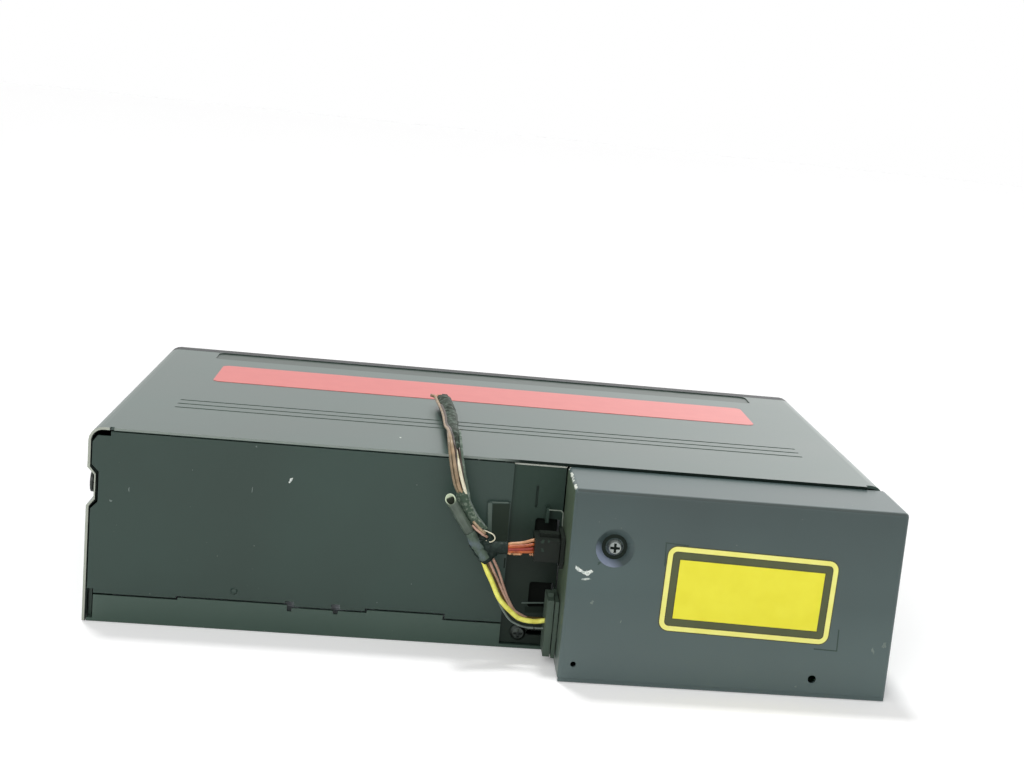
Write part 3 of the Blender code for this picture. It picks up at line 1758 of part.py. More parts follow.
def lift_drive():
    overhang = pinion_width / 2 - cam_thickness / 2 + seat_gap * 2
    y0 = front_cam_y - cam_thickness - overhang
    y1 = rear_cam_y + overhang
    along = axes((shaft_x, y0, z_shaft), (-1, 0, 0), (0, 0, 1))
    piece("lift_shaft", rod(shaft_radius, y1 - y0, 20), bright_steel, along)
    bore = circle(0, 0, shaft_radius + seat_gap / 3, 20)
    quarter = math.pi / 2
    for name, y in (("lift_pinion_front", front_cam_y), ("lift_pinion_rear", rear_cam_y)):
        front_face = y - cam_thickness / 2 + pinion_width / 2
        teeth = gear_outline(pinion_teeth)
        turned_teeth = [(-py, px) for px, py in teeth]
        piece(
            name,
            flat([turned_teeth, bore], pinion_width),
            white_plastic,
            upright(shaft_x, front_face, z_shaft),
        )
    wheel = turn_points(gear_outline(wheel_teeth), motor_angle)
    face = wheel_y + wheel_width / 2
    piece("lift_gear", flat([wheel, bore], wheel_width), white_plastic, upright(shaft_x, face, z_shaft))
    half_space = math.pi / motor_teeth
    small = turn_points(gear_outline(motor_teeth), motor_angle + 2 * quarter + half_space)
    motor_bore = circle(0, 0, motor_shaft_radius + seat_gap / 3, 16)
    piece(
        "motor_pinion",
        flat([small, motor_bore], wheel_width),
        bright_steel,
        upright(motor_x, face, motor_z),
    )
    start = motor_wall_y + chassis_sheet + seat_gap
    frame = axes((motor_x, start, motor_z), (-1, 0, 0), (0, 0, 1))
    motor = piece("lift_motor", rod(lift_motor_radius, lift_motor_length, 28), zinc_steel, frame)
    shaft_length = start - (wheel_y - wheel_width / 2) + lift_motor_length / 2
    shaft = axes((motor_x, wheel_y - wheel_width / 2, motor_z), (-1, 0, 0), (0, 0, 1))
    join(motor, rod(motor_shaft_radius, shaft_length, 16), shaft)


def turn_points(points, angle):
    c = math.cos(angle)
    s = math.sin(angle)
    return [(c * x - s * y, s * x + c * y) for x, y in points]


lift_drive()


# Harness: the routes' own points, chosen by hand
upper_route = [(-0.0122, 0.0774, 0.0377), (-0.0086, 0.0774, 0.0376), (-0.0050, 0.0774, 0.0366)]
junction_body = [(0.0014, 0.0775, 0.0318), (0.0056, 0.0779, 0.0374)]
junction_branch = [(-0.0045, 0.0774, 0.0363), (0.0034, 0.0776, 0.0356)]
trunk_route = [
    (0.0028, 0.0763, 0.0414),
    (0.0066, 0.0754, 0.0464),
    (0.0104, 0.0747, 0.0530),
    (0.0127, 0.0736, 0.0589),
    (0.0139, 0.0712, 0.0642),
    (0.0144, 0.0665, 0.0674),
    (0.0147, 0.0610, 0.0683),
    (0.0149, 0.0540, 0.0675),
    (0.0151, 0.0462, 0.0661),
    (0.0154, 0.0360, 0.0657),
    (0.0156, 0.0260, 0.0657),
    (0.0158, 0.0160, 0.0657),
    (0.0162, 0.0060, 0.0657),
    (0.0167, -0.0040, 0.0657),
    (0.0173, -0.0141, 0.0657),
]
stub_route = [(0.0060, 0.0780, 0.0381), (0.0103, 0.0786, 0.0448), (0.0143, 0.0788, 0.0514)]
lower_route = [
    (0.0011, 0.0775, 0.0313),
    (-0.0006, 0.0774, 0.0275),
    (-0.0027, 0.0773, 0.0228),
    (-0.0057, 0.0772, 0.0176),
    (-0.0097, 0.0773, 0.0144),
    (-0.0138, 0.0774, 0.0128),
    (-0.0179, 0.0775, 0.0125),
]


def smooth_route(points, radius):
    """A smooth curve through the route's points, read every few diameters."""
    ends = [
        [2 * points[0][k] - points[1][k] for k in range(3)],
        *[list(p) for p in points],
        [2 * points[-1][k] - points[-2][k] for k in range(3)],
    ]
    made = []
    for i in range(1, len(ends) - 2):
        a, b, c, d = (Vector(ends[i + k]) for k in (-1, 0, 1, 2))
        steps = max(1, round((c - b).length / (tube_steps_share * radius * 2)))
        for j in range(steps):
            t = j / steps
            made.append(
                0.5
                * (
                    2 * b
                    + (c - a) * t
                    + (2 * a - 5 * b + 4 * c - d) * t * t
                    + (3 * b - a - 3 * c + d) * t * t * t
                )
            )
    made.append(Vector(points[-1]))
    return made


def tube(name, route, radius, paint):
    """A round tube along a route."""
    curve = bpy.data.curves.new(name, "CURVE")
    curve.dimensions = "3D"
    curve.bevel_depth = radius
    curve.bevel_resolution = 2
    curve.use_fill_caps = True
    points = smooth_route(route, radius)
    spline = curve.splines.new("POLY")
    spline.points.add(len(points) - 1)
    for point, place in zip(spline.points, points):
        point.co = (*place, 1)
    made = bpy.data.objects.new(name, curve)
    made.data.materials.append(paint)
    pieces.objects.link(made)
    return made


def between(ends, radius):
    """A cylinder between two points, with its frame."""
    start, end = (Vector(p) for p in ends)
    along = end - start
    across = along.cross(Vector((0, 1, 0)))
    frame = axes(start, across, along.cross(across))
    return rod(radius, along.length, 20), frame


def harness_junction():
    body, frame = between(junction_body, junction_radius)
    wrap = piece("harness_junction", body, tape, frame)
    branch, frame = between(junction_branch, upper_lead_radius)
    join(wrap, branch, frame)


tube("upper_lead", upper_route, upper_lead_radius, wire_orange)
harness_junction()
tube("harness_trunk", trunk_route, trunk_radius, tape)
tube("harness_stub", stub_route, stub_radius, rubber)
tube("lower_lead", lower_route, lower_lead_radius, wire_yellow)
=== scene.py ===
"""The looks of a six-disc car changer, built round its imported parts. Metres, +Z up.
The wiring side is at +Y and the front with its door at -Y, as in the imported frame."""

import math

import bmesh
import bpy
from mathutils import Matrix, Vector, noise


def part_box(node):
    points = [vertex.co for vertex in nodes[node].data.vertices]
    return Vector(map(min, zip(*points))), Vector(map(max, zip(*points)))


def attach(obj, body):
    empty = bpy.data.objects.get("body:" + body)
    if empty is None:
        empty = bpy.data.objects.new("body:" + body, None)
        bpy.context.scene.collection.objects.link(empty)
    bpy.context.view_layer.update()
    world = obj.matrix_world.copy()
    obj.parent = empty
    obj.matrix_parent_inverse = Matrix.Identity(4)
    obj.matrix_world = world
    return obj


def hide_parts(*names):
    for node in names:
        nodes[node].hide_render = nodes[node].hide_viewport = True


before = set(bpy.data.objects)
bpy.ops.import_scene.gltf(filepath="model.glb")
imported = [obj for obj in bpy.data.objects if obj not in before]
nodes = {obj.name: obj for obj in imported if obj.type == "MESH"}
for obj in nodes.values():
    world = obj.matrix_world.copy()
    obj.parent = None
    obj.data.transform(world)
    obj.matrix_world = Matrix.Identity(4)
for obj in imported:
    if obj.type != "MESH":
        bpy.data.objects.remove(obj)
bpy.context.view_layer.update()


# Bottom plate
# A flat floor of 1 mm steel with folded sides and a folded rear flange. Its enamel is the rear
# panel's dark green-grey painted paler, as painted light thrown up from the white floor, and it
# shows a fine orange peel.
cloud_size = 0.055
peel_size = 0.0011
dust_size = 0.0007


def linear(code):
    """An sRGB hex colour as linear light."""
    shares = [int(code[i : i + 2], 16) / 255 for i in (1, 3, 5)]
    light = [s / 12.92 if s <= 0.04045 else ((s + 0.055) / 1.055) ** 2.4 for s in shares]
    return (*light, 1.0)


def add_node(finish, kind, sockets=None, **settings):
    """Adds a shader node with its settings. A socket takes a value, a hex colour, a node and its
    output, or a node by itself, which gives its first output in use."""
    made = finish.node_tree.nodes.new("ShaderNode" + kind)
    for name, value in settings.items():
        setattr(made, name, value)
    for name, value in (sockets or {}).items():
        if isinstance(value, str):
            value = linear(value)
        if isinstance(value, bpy.types.ShaderNode):
            value = (value, [output.enabled for output in value.outputs].index(True))
        if isinstance(value, tuple) and isinstance(value[0], bpy.types.ShaderNode):
            finish.node_tree.links.new(value[0].outputs[value[1]], made.inputs[name])
        else:
            made.inputs[name].default_value = value
    return made


def new_finish(name):
    """An empty material, and the output that gives its place in the part's own space."""
    made = bpy.data.materials.new(name)
    made.use_nodes = True
    made.node_tree.nodes.clear()
    return made, (add_node(made, "TexCoord"), "Object")


def finished(made, look):
    """Ends a finish with the surface that shows its look."""
    surface = add_node(made, "BsdfPrincipled", look)
    add_node(made, "OutputMaterial", {"Surface": surface})
    return made


def two_tone(finish, here, size, detail, low, high, deep, pale):
    """Noise of a real size, spread from low to high between two tones. Gives colour and noise."""
    cloud = add_node(finish, "TexNoise", {"Vector": here, "Scale": 1 / size, "Detail": detail})
    tone = add_node(finish, "MapRange", {"Value": cloud, "From Min": low, "From Max": high})
    return add_node(finish, "Mix", {0: tone, 6: deep, 7: pale}, data_type="RGBA"), cloud


def enamel(name, deep, pale, roughness, bare=None):
    """Stoved enamel on sheet steel: two close tones, a fine orange peel and specks of dust.
    bare takes the finish, the place and the colour, and gives a new colour and the gloss."""
    made, here = new_finish(name)
    colour, cloud = two_tone(made, here, cloud_size, 3.0, 0.35, 0.65, deep, pale)
    dust = add_node(made, "TexNoise", {"Vector": here, "Scale": 1 / dust_size, "Detail": 0.0})
    speck = add_node(made, "MapRange", {"Value": dust, "From Min": 0.87, "From Max": 0.91})
    film = add_node(made, "Mix", {0: speck, 6: colour, 7: "#7b837c"}, data_type="RGBA")
    gloss = 0.5
    if bare:
        film, gloss = bare(made, here, film)
    spread = {"Value": cloud, "To Min": roughness - 0.04, "To Max": roughness + 0.04}
    shine = add_node(made, "MapRange", spread)
    peel = add_node(made, "TexNoise", {"Vector": here, "Scale": 1 / peel_size, "Detail": 1.0})
    bump = add_node(made, "Bump", {"Height": peel, "Strength": 0.08, "Distance": 0.0001})
    look = {"Base Color": film, "Roughness": shine, "Specular IOR Level": gloss, "Normal": bump}
    return finished(made, look)


def dress(finish, *names):
    """Gives CAD nodes their finish."""
    for name in names:
        nodes[name].data.materials.clear()
        nodes[name].data.materials.append(finish)


# Painted light: the bottom plate's enamel is paler, for the light the white floor throws up.
floor_lit_enamel = enamel("bottom_enamel_painted_light", "#3a4f45", "#3f544a", 0.40)
dress(floor_lit_enamel, "bottom_plate")


# Mechanism chassis and its rubber dampers
# The chassis is folded from zinc-plated steel. Zinc is a pale blue-grey metal with soft mottling
# and a faint brushed grain along the sheet. It hangs in four soft black rubber grommets.
mottle_size = 0.004
flow_size = 0.02


def plated_steel(name, deep, pale, roughness, grain=(1.0, 1.0, 1.0)):
    """A plated metal with a mottled tone and a grain that can run one way."""
    made, here = new_finish(name)
    drawn = add_node(made, "Mapping", {"Vector": here, "Scale": grain})
    colour, mottle = two_tone(made, (drawn, 0), mottle_size, 3.0, 0.3, 0.7, deep, pale)
    spread = {"Value": mottle, "To Min": roughness - 0.05, "To Max": roughness + 0.08}
    shine = add_node(made, "MapRange", spread)
    look = {"Base Color": colour, "Roughness": shine, "Metallic": 1.0}
    return finished(made, look)


def moulded(name, deep, pale, roughness, texture_size=0.0007, depth=0.00004, gloss=0.5):
    """Moulded plastic or rubber with an etched texture and a slight change of tone."""
    made, here = new_finish(name)
    colour = two_tone(made, here, flow_size, 2.0, 0.35, 0.65, deep, pale)[0]
    etched = add_node(made, "TexNoise", {"Vector": here, "Scale": 1 / texture_size, "Detail": 2.0})
    bump = add_node(made, "Bump", {"Height": etched, "Strength": 0.35, "Distance": depth})
    look = {"Base Color": colour, "Roughness": roughness, "Specular IOR Level": gloss}
    return finished(made, {**look, "Normal": bump})


zinc_plate = plated_steel("zinc_plated_steel", "#9ea3a6", "#c3c7c9", 0.34, (0.25, 1.0, 1.0))
soft_rubber = moulded("black_rubber", "#1b1c1d", "#242627", 0.72)
dress(zinc_plate, "mechanism_chassis")
dress(soft_rubber, "damper_front_left", "damper_front_right", "damper_rear_left", "damper_rear_right")


# Lifting player
# A zinc-plated base plate carries the spindle motor in its steel can, the acetal turntable, and
# the pickup on two ground rods. Its lens is a moulded drop with a violet anti-reflection coat.
ground_steel = plated_steel("ground_steel", "#b5b8ba", "#d2d4d5", 0.18, (1.0, 0.2, 1.0))
motor_can = plated_steel("drawn_motor_can", "#8f9496", "#b2b6b8", 0.28)
black_acetal = moulded("black_acetal", "#17181a", "#202224", 0.34, 0.0005, 0.00001)
filled_plastic = moulded("glass_filled_plastic", "#232527", "#313436", 0.55, 0.0006)
dress(zinc_plate, "elevator_frame", "clamp_arm")
dress(
    ground_steel, "guide_rod_left", "guide_rod_right", "lead_screw", "clamp_hinge_pin", "tray_pivot_pin",
)
dress(motor_can, "spindle_motor", "sled_motor")
dress(black_acetal, "turntable")
dress(filled_plastic, "pickup_sled")


def coated_lens():
    """Clear moulded glass whose coat looks violet from above and paler towards its rim."""
    made = new_finish("coated_lens_glass")[0]
    turned_away = (add_node(made, "LayerWeight", {"Blend": 0.35}), "Facing")
    coat = {0: turned_away, 6: "#3a2c66", 7: "#7f88b8"}
    colour = add_node(made, "Mix", coat, data_type="RGBA")
    look = {"Base Color": colour, "Roughness": 0.06, "IOR": 1.52, "Coat Weight": 0.6}
    return finished(made, look)


dress(coated_lens(), "objective_lens")


# Clamp disc, gears and lift drive
# The clamp disc and the gears are natural acetal, a waxy off-white plastic. The two cam plates
# are bright stainless sheet, and the motor sits in a drawn steel can.
natural_acetal = moulded("natural_acetal", "#d9d6c8", "#e6e3d6", 0.38, 0.0008, 0.00001)
stainless = plated_steel("stainless_sheet", "#a9acae", "#c9cccd", 0.24, (0.15, 1.0, 1.0))
dress(natural_acetal, "clamper", "lift_gear", "lift_pinion_front", "lift_pinion_rear")
dress(stainless, "cam_plate_front", "cam_plate_rear")
dress(ground_steel, "lift_shaft", "motor_pinion")
dress(motor_can, "lift_motor")


# Magazine and its trays
# The magazine and its guide are injection-moulded in black ABS with a fine etched texture. The
# trays are thinner and a little glossier, because they are moulded in a polished tool.
etched_abs = moulded("etched_black_abs", "#1d2021", "#272b2c", 0.50, 0.0008, 0.00006)
polished_abs = moulded("polished_black_abs", "#191b1c", "#222526", 0.30, 0.0012, 0.00001)
dress(etched_abs, "magazine_shell", "magazine_guide")
dress(polished_abs, *[f"disc_tray_{i}" for i in range(1, 7)])


# Boards in the rear housing
# Two glass-epoxy boards under green solder mask, with faint copper tracks below the mask. The
# chips on the large board are black epoxy, and the post behind it is zinc-plated.
tracks_across = 120.0
track_gap = 0.03
beyond_board = 0.0017
beyond_all = 1.0


def masked_board(name, chip_from):
    """Solder mask over tracks. What stands beyond chip_from along Y is a black chip."""
    made, here = new_finish(name)
    parts = add_node(made, "SeparateXYZ", {"Vector": here})
    upright = add_node(made, "CombineXYZ", {"X": (parts, "X"), "Y": (parts, "Z")})
    tracks = {
        "Vector": upright, "Scale": tracks_across, "Color1": "#1d5a36", "Color2": "#236a40",
        "Mortar": "#123f25", "Mortar Size": track_gap,
    }
    mask = add_node(made, "TexBrick", tracks)
    chip = add_node(made, "Math", {0: (parts, "Y"), 1: chip_from}, operation="GREATER_THAN")
    colour = add_node(made, "Mix", {0: chip, 6: mask, 7: "#17191a"}, data_type="RGBA")
    return finished(made, {"Base Color": colour, "Roughness": 0.32})


chip_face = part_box("main_board")[0].y + beyond_board
dress(masked_board("green_solder_mask", chip_face), "main_board")
dress(masked_board("small_board_mask", beyond_all), "socket_board")
dress(zinc_plate, "board_post")


# Front bezel, door and button
# The bezel is one moulding in etched black ABS. The door has the same texture with a little more
# gloss, where hands have polished it, and the eject button is a lighter grey.
door_abs = moulded("handled_black_abs", "#1f2223", "#292d2e", 0.38, 0.0008, 0.00004)
grey_abs = moulded("grey_abs", "#4c5052", "#565a5c", 0.45, 0.0007, 0.00004)
dress(etched_abs, "front_bezel")
dress(door_abs, "sliding_door")
dress(grey_abs, "eject_button", "eject_switch")


# Dials in the side channels
# Each is a slotted disc of dark grey acetal that shows the way the case is mounted. It stands in
# the rolled channel and turns a quarter turn.
dial_acetal = moulded("dark_grey_acetal", "#262d2a", "#30382f", 0.42, 0.0005, 0.00002)
dress(dial_acetal, "angle_dial_left", "angle_dial_right")


def show(name, mesh, finish, matrix=None, body="case"):
    """A new piece in the part's frame that rides on a body."""
    mesh.name = name
    if matrix is not None:
        mesh.transform(matrix)
    mesh.materials.clear()
    mesh.materials.append(finish)
    made = bpy.data.objects.new(name, mesh)
    bpy.context.scene.collection.objects.link(made)
    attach(made, body)
    return made


def slab_mesh(outlines, thickness):
    """A plate from flat outlines, half above and half below zero. The first outline is its edge."""
    curve = bpy.data.curves.new("slab", "CURVE")
    curve.dimensions = "2D"
    curve.fill_mode = "BOTH"
    curve.extrude = thickness / 2
    for outline in outlines:
        spline = curve.splines.new("POLY")
        spline.points.add(len(outline) - 1)
        for point, (x, y) in zip(spline.points, outline):
            point.co = (x, y, 0, 1)
        spline.use_cyclic_u = True
    source = bpy.data.objects.new("slab", curve)
    made = bpy.data.meshes.new_from_object(source)
    bpy.data.objects.remove(source)
    bpy.data.curves.remove(curve)
    return made


boss_radius = 0.0036
boss_height = 0.0008
boss_slot = 0.0009
arc_steps = 20
slot_angle = math.asin(boss_slot / 2 / boss_radius)
arc_angle = math.pi - 2 * slot_angle
half_turn = [slot_angle + arc_angle * k / arc_steps for k in range(arc_steps + 1)]
boss_halves = []
for turn in (0, math.pi):
    arc = [(boss_radius * math.cos(a + turn), boss_radius * math.sin(a + turn)) for a in half_turn]
    boss_halves.append(arc)
for side, name, body in ((1, "angle_dial_left", "dial_left"), (-1, "angle_dial_right", "dial_right")):
    low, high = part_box(name)
    face = high.x if side > 0 else low.x
    middle = ((low.y + high.y) / 2, (low.z + high.z) / 2)
    facing = Matrix.Translation((face + side * boss_height / 2, *middle))
    facing = facing @ Matrix.Rotation(math.pi / 2, 4, "Y")
    show(name + "_boss", slab_mesh(boss_halves, boss_height), dial_acetal, facing, body)


# Top cover
# The lid and both sides are one pressing of pre-painted steel. It was painted before it was cut,
# so the cut edge along the rear is bare, and shows as a pale line round the panel.
cover_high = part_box("top_cover")[1]
edge_reach = 0.00008
corner_x = 0.1230
corner_z = 0.0585
edge_middle = 0.0037
channel_low = 0.0375
channel_high = 0.0502
channel_slope = 0.0023
channel_depth = 0.0018
lid_half = 0.1212
panel_start = -0.007
panel_full = 0.001
least_press = 0.00008
most_press = 0.0006
pressed_half = 0.1080
band_back = -0.070
band_dullness = 0.6


def cut_edge_light_and_shade(finish, here, film):
    """The bare cut edge along the rear of the cover. Its outer half is pale steel, and towards
    the panel it is painted dark, as painted shade in the gap. Over the lid it is as dull as the
    enamel, and over the recess it is dull and painted dark, as painted shadow of the lid. The
    pressed lines are painted paler and the pressed band darker, as painted light and shade of
    the pressing, and the band is duller."""
    parts = add_node(finish, "SeparateXYZ", {"Vector": here})
    across = (parts, "X")
    along = (parts, "Y")
    up = (parts, "Z")
    rear = add_node(finish, "Math", {0: along, 1: cover_high.y - edge_reach}, operation="GREATER_THAN")
    aside = add_node(finish, "Math", {0: across}, operation="ABSOLUTE")
    past_x = add_node(finish, "Math", {0: aside, 1: corner_x}, operation="SUBTRACT", use_clamp=True)
    past_z = add_node(finish, "Math", {0: up, 1: corner_z}, operation="SUBTRACT", use_clamp=True)
    past = add_node(finish, "CombineXYZ", {"X": past_x, "Y": past_z})
    reach = add_node(finish, "VectorMath", {0: past}, operation="LENGTH")
    under = add_node(finish, "Math", {0: reach, 1: edge_middle}, operation="LESS_THAN")
    above_channel = add_node(finish, "Math", {0: up, 1: channel_low}, operation="SUBTRACT")
    below_channel = add_node(finish, "Math", {0: channel_high, 1: up}, operation="SUBTRACT")
    into_channel = add_node(finish, "Math", {0: above_channel, 1: below_channel}, operation="MINIMUM")
    inwards = {
        "Value": into_channel, "From Min": 0.0, "From Max": channel_slope,
        "To Min": corner_x + edge_middle, "To Max": corner_x + edge_middle - channel_depth,
    }
    middle = add_node(finish, "MapRange", inwards)
    inside = add_node(finish, "Math", {0: aside, 1: middle}, operation="LESS_THAN")
    gap = add_node(finish, "Math", {0: under, 1: inside}, operation="MINIMUM")
    on_lid = add_node(finish, "Math", {0: aside, 1: lid_half}, operation="LESS_THAN")
    panel = {"From Min": panel_start, "From Max": panel_full}
    over_panel = add_node(finish, "MapRange", {"Value": across, **panel})
    # Painted shadow: over the recess the edge's pale half is dark, as the lid's shadow falls there.
    lid_edge_recess_shadow = {0: over_panel, 6: "#1a2521", 7: "#808b84"}
    steel = {0: on_lid, 6: "#a7ada0", 7: add_node(finish, "Mix", lid_edge_recess_shadow, data_type="RGBA")}
    pale_half = add_node(finish, "Mix", steel, data_type="RGBA")
    # Painted shade: the inner half of the edge is dark, as the shade in the gap under the lid.
    lid_gap_shade = {0: over_panel, 6: "#111814", 7: "#26352f"}
    shade = {0: on_lid, 6: "#0d1310", 7: add_node(finish, "Mix", lid_gap_shade, data_type="RGBA")}
    shaded_half = add_node(finish, "Mix", shade, data_type="RGBA")
    edge = add_node(finish, "Mix", {0: gap, 6: pale_half, 7: shaded_half}, data_type="RGBA")
    sunk = add_node(finish, "Math", {0: up, 1: cover_high.z - least_press}, operation="LESS_THAN")
    shallow = add_node(finish, "Math", {0: up, 1: cover_high.z - most_press}, operation="GREATER_THAN")
    on_top = add_node(finish, "Math", {0: aside, 1: pressed_half}, operation="LESS_THAN")
    pressed = add_node(finish, "Math", {0: sunk, 1: shallow}, operation="MULTIPLY")
    lines = add_node(finish, "Math", {0: pressed, 1: on_top}, operation="MULTIPLY")
    in_front = add_node(finish, "Math", {0: along, 1: band_back}, operation="LESS_THAN")
    band = add_node(finish, "Math", {0: lines, 1: in_front}, operation="MULTIPLY")
    # Painted light and shade: the pressed lines are paler and the pressed band darker, for how the
    # pressing catches the light.
    pressed_light_and_shade = {0: in_front, 6: "#66736b", 7: "#3c4a43"}
    line_tone = add_node(finish, "Mix", pressed_light_and_shade, data_type="RGBA")
    lid_tone = add_node(finish, "Mix", {0: lines, 6: film, 7: line_tone}, data_type="RGBA")
    colour = add_node(finish, "Mix", {0: rear, 6: lid_tone, 7: edge}, data_type="RGBA")
    # Where the edge over the recess is painted as shadow, it is also dulled.
    recess_shadow = add_node(finish, "Math", {0: 1.0, 1: over_panel}, operation="SUBTRACT")
    lid_recess_shadow = add_node(finish, "Math", {0: recess_shadow, 1: on_lid}, operation="MULTIPLY")
    dark_part = add_node(finish, "Math", {0: gap, 1: lid_recess_shadow}, operation="MAXIMUM")
    edge_dull = add_node(finish, "Math", {0: rear, 1: dark_part}, operation="MULTIPLY")
    band_dull = add_node(finish, "Math", {0: band, 1: band_dullness}, operation="MULTIPLY")
    dull = add_node(finish, "Math", {0: edge_dull, 1: band_dull}, operation="MAXIMUM")
    return colour, add_node(finish, "MapRange", {"Value": dull, "To Min": 0.5, "To Max": 0.05})


cover_enamel = enamel("semi_gloss_stoved_enamel", "#485953", "#4e605a", 0.30, cut_edge_light_and_shade)
dress(cover_enamel, "top_cover")


# Coloured strip on the lid
# A screen-printed vinyl strip stuck across the lid in front of the pressed lines. The red ink is
# even, with a soft gloss a little stronger than the enamel's.
strip_left = 0.1020
strip_right = -0.1000
strip_front = -0.0620
strip_back = -0.0275
strip_corner = 0.0030
strip_thickness = 0.00012
corner_steps = 6
screen_size = 0.006


def round_corners(x0, y0, x1, y1, radius):
    """A rectangle with round corners, as points."""
    points = []
    for x, y, quarter in ((x1, y1, 0), (x0, y1, 1), (x0, y0, 2), (x1, y0, 3)):
        cx = x - math.copysign(radius, x - (x0 + x1) / 2)
        cy = y - math.copysign(radius, y - (y0 + y1) / 2)
        for i in range(corner_steps + 1):
            angle = (quarter + i / corner_steps) * math.pi / 2
            points.append((cx + radius * math.cos(angle), cy + radius * math.sin(angle)))
    return points


def printed_vinyl(name, deep, pale, roughness):
    """Ink on vinyl film, with a faint mottling from the screen."""
    made, here = new_finish(name)
    colour = two_tone(made, here, screen_size, 2.0, 0.3, 0.7, deep, pale)[0]
    return finished(made, {"Base Color": colour, "Roughness": roughness})


red_vinyl = printed_vinyl("red_printed_vinyl", "#d85a55", "#dc605a", 0.28)
strip = round_corners(strip_right, strip_front, strip_left, strip_back, strip_corner)
strip_place = Matrix.Translation((0, 0, cover_high.z + strip_thickness / 2))
show("lid_strip", slab_mesh([strip], strip_thickness), red_vinyl, strip_place)


# Rear panel
# The stepped panel is a separate pressing under the lid, in the enamel painted darker, as
# painted shade under the lid. It carries a domed rivet and a raised pad. Its enamel has a few
# small flecks, painted highlights along the pad's edges, and a darker layer on the pad's face.
# Painted shade: the panel's enamel is painted darker, for the shade under the lid.
shaded_panel_enamel = enamel("panel_enamel_painted_shade", "#22372f", "#263d35", 0.40)
dress(shaded_panel_enamel, "rear_panel")
panel_face = cover_high.y
fleck_thickness = 0.00004
crumb_size = 0.0006
torn_points = 18


def chipped_metal(name, deep, pale):
    """Bare zinc and primer in a chip, matt and uneven."""
    made, here = new_finish(name)
    colour = two_tone(made, here, crumb_size, 3.0, 0.35, 0.65, deep, pale)[0]
    return finished(made, {"Base Color": colour, "Roughness": 0.6})


chip_metal = chipped_metal("chipped_enamel", "#a9b4ae", "#f0f4ee")
primer_chip = chipped_metal("chipped_to_primer", "#8f9b95", "#c5ccc6")
scuff_metal = chipped_metal("scuffed_enamel", "#626f6a", "#76827d")


def on_rear(name, outlines, face, finish, thickness=fleck_thickness):
    """A thin layer on a face that looks to +Y, drawn in X and Z."""
    facing = Matrix.Translation((0, face + thickness / 2, 0)) @ Matrix.Rotation(math.pi / 2, 4, "X")
    return show(name, slab_mesh(outlines, thickness), finish, facing)


def turned_by(tilt, x, z, across, up):
    """A point that lies across and up from a place, on lines turned by a tilt."""
    cos = math.cos(tilt)
    sin = math.sin(tilt)
    return x + across * cos - up * sin, z + across * sin + up * cos


def ragged(x, z, width, height, tilt, seed):
    """A ragged patch about a place, its edge pushed in and out."""
    outline = []
    for i in range(torn_points):
        angle = math.tau * i / torn_points
        reach = 0.5 + 0.45 * noise.noise(Vector((math.cos(angle), math.sin(angle), seed)) * 1.7)
        across = width * reach * math.cos(angle)
        up = height * reach * math.sin(angle)
        outline.append(turned_by(tilt, x, z, across, up))
    return outline


def ragged_marks(stem, places, face):
    """Numbered marks on a face, each from its place, width, height, tilt, seed and finish."""
    for i, (*patch, finish) in enumerate(places):
        on_rear(f"{stem}_{i + 1}", [ragged(*patch)], face, finish)


def oblong(left, low, right, high):
    """The four corners of a sharp oblong."""
    return [(left, low), (right, low), (right, high), (left, high)]


panel_flecks = [
    (0.0651, 0.0505, 0.0008, 0.0018, 0.4, 1, chip_metal),
    (0.0768, 0.0466, 0.0003, 0.0018, 0.1, 2, scuff_metal),
    (0.0763, 0.0606, 0.0005, 0.0005, 0.0, 3, scuff_metal),
    (0.1200, 0.0397, 0.0008, 0.0006, 0.2, 4, scuff_metal),
    (0.1146, 0.0437, 0.0003, 0.0013, 0.0, 5, scuff_metal),
]
ragged_marks("panel_fleck", panel_flecks, panel_face)
pad_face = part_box("rear_panel")[1].y
# Painted highlights: paler enamel strips along the pad's lit edges.
highlight_enamel = enamel("painted_highlight_enamel", "#46564e", "#516158", 0.36)
pad_highlights = {
    "pad_side_highlight": [(0.0026, 0.0483), (0.0013, 0.0484), (0.0005, 0.0381), (0.0017, 0.0380)],
    "pad_top_highlight": [(0.0012, 0.0489), (-0.0040, 0.0491), (-0.0040, 0.0487), (0.0012, 0.0485)],
}
for name, outline in pad_highlights.items():
    on_rear(name, [outline], pad_face, highlight_enamel)
# Painted shade: a dark finish for gaps, slots and recesses where shade falls.
recess_shade = moulded("painted_recess_shade", "#141e18", "#1b261f", 0.62, 0.0012, 0.00004, 0.15)
# A darker layer on the pad's face.
pad_dark_finish = moulded("darker_pad_layer", "#1f2b23", "#273329", 0.60, 0.0012, 0.00004, 0.20)
pad_dark_patch = [(-0.0047, 0.0343), (0.0006, 0.0343), (0.0010, 0.0482), (-0.0045, 0.0486)]
on_rear("pad_dark_patch", [pad_dark_patch], pad_face, pad_dark_finish, fleck_thickness / 2)
# Painted shade: a dark strip in the seam gap.
on_rear("seam_gap", [oblong(-0.00475, 0.0268, -0.0043, 0.0302)], panel_face, recess_shade)
lid_chip = slab_mesh([ragged(0.0320, 0.0471, 0.0008, 0.0012, 0.3, 21)], fleck_thickness)
chip_place = Matrix.Translation((0, 0, cover_high.z + fleck_thickness / 2))
show("lid_fleck", lid_chip, chip_metal, chip_place)


# Wiring recess, its plate, screw, sockets and plugs
# The plate behind the connectors is the same enamelled sheet, painted darker as shade in the recess
# and darker still lower down as painted shadow under the upper plug. Its bare cut edge along the
# top is pale, partly as a painted highlight. A black sheet behind it closes its windows as painted
# shade. The connectors are black nylon.
plate_low, plate_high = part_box("connector_plate")
cut_height = 0.0005
shade_start = 0.014
shade_full = 0.030


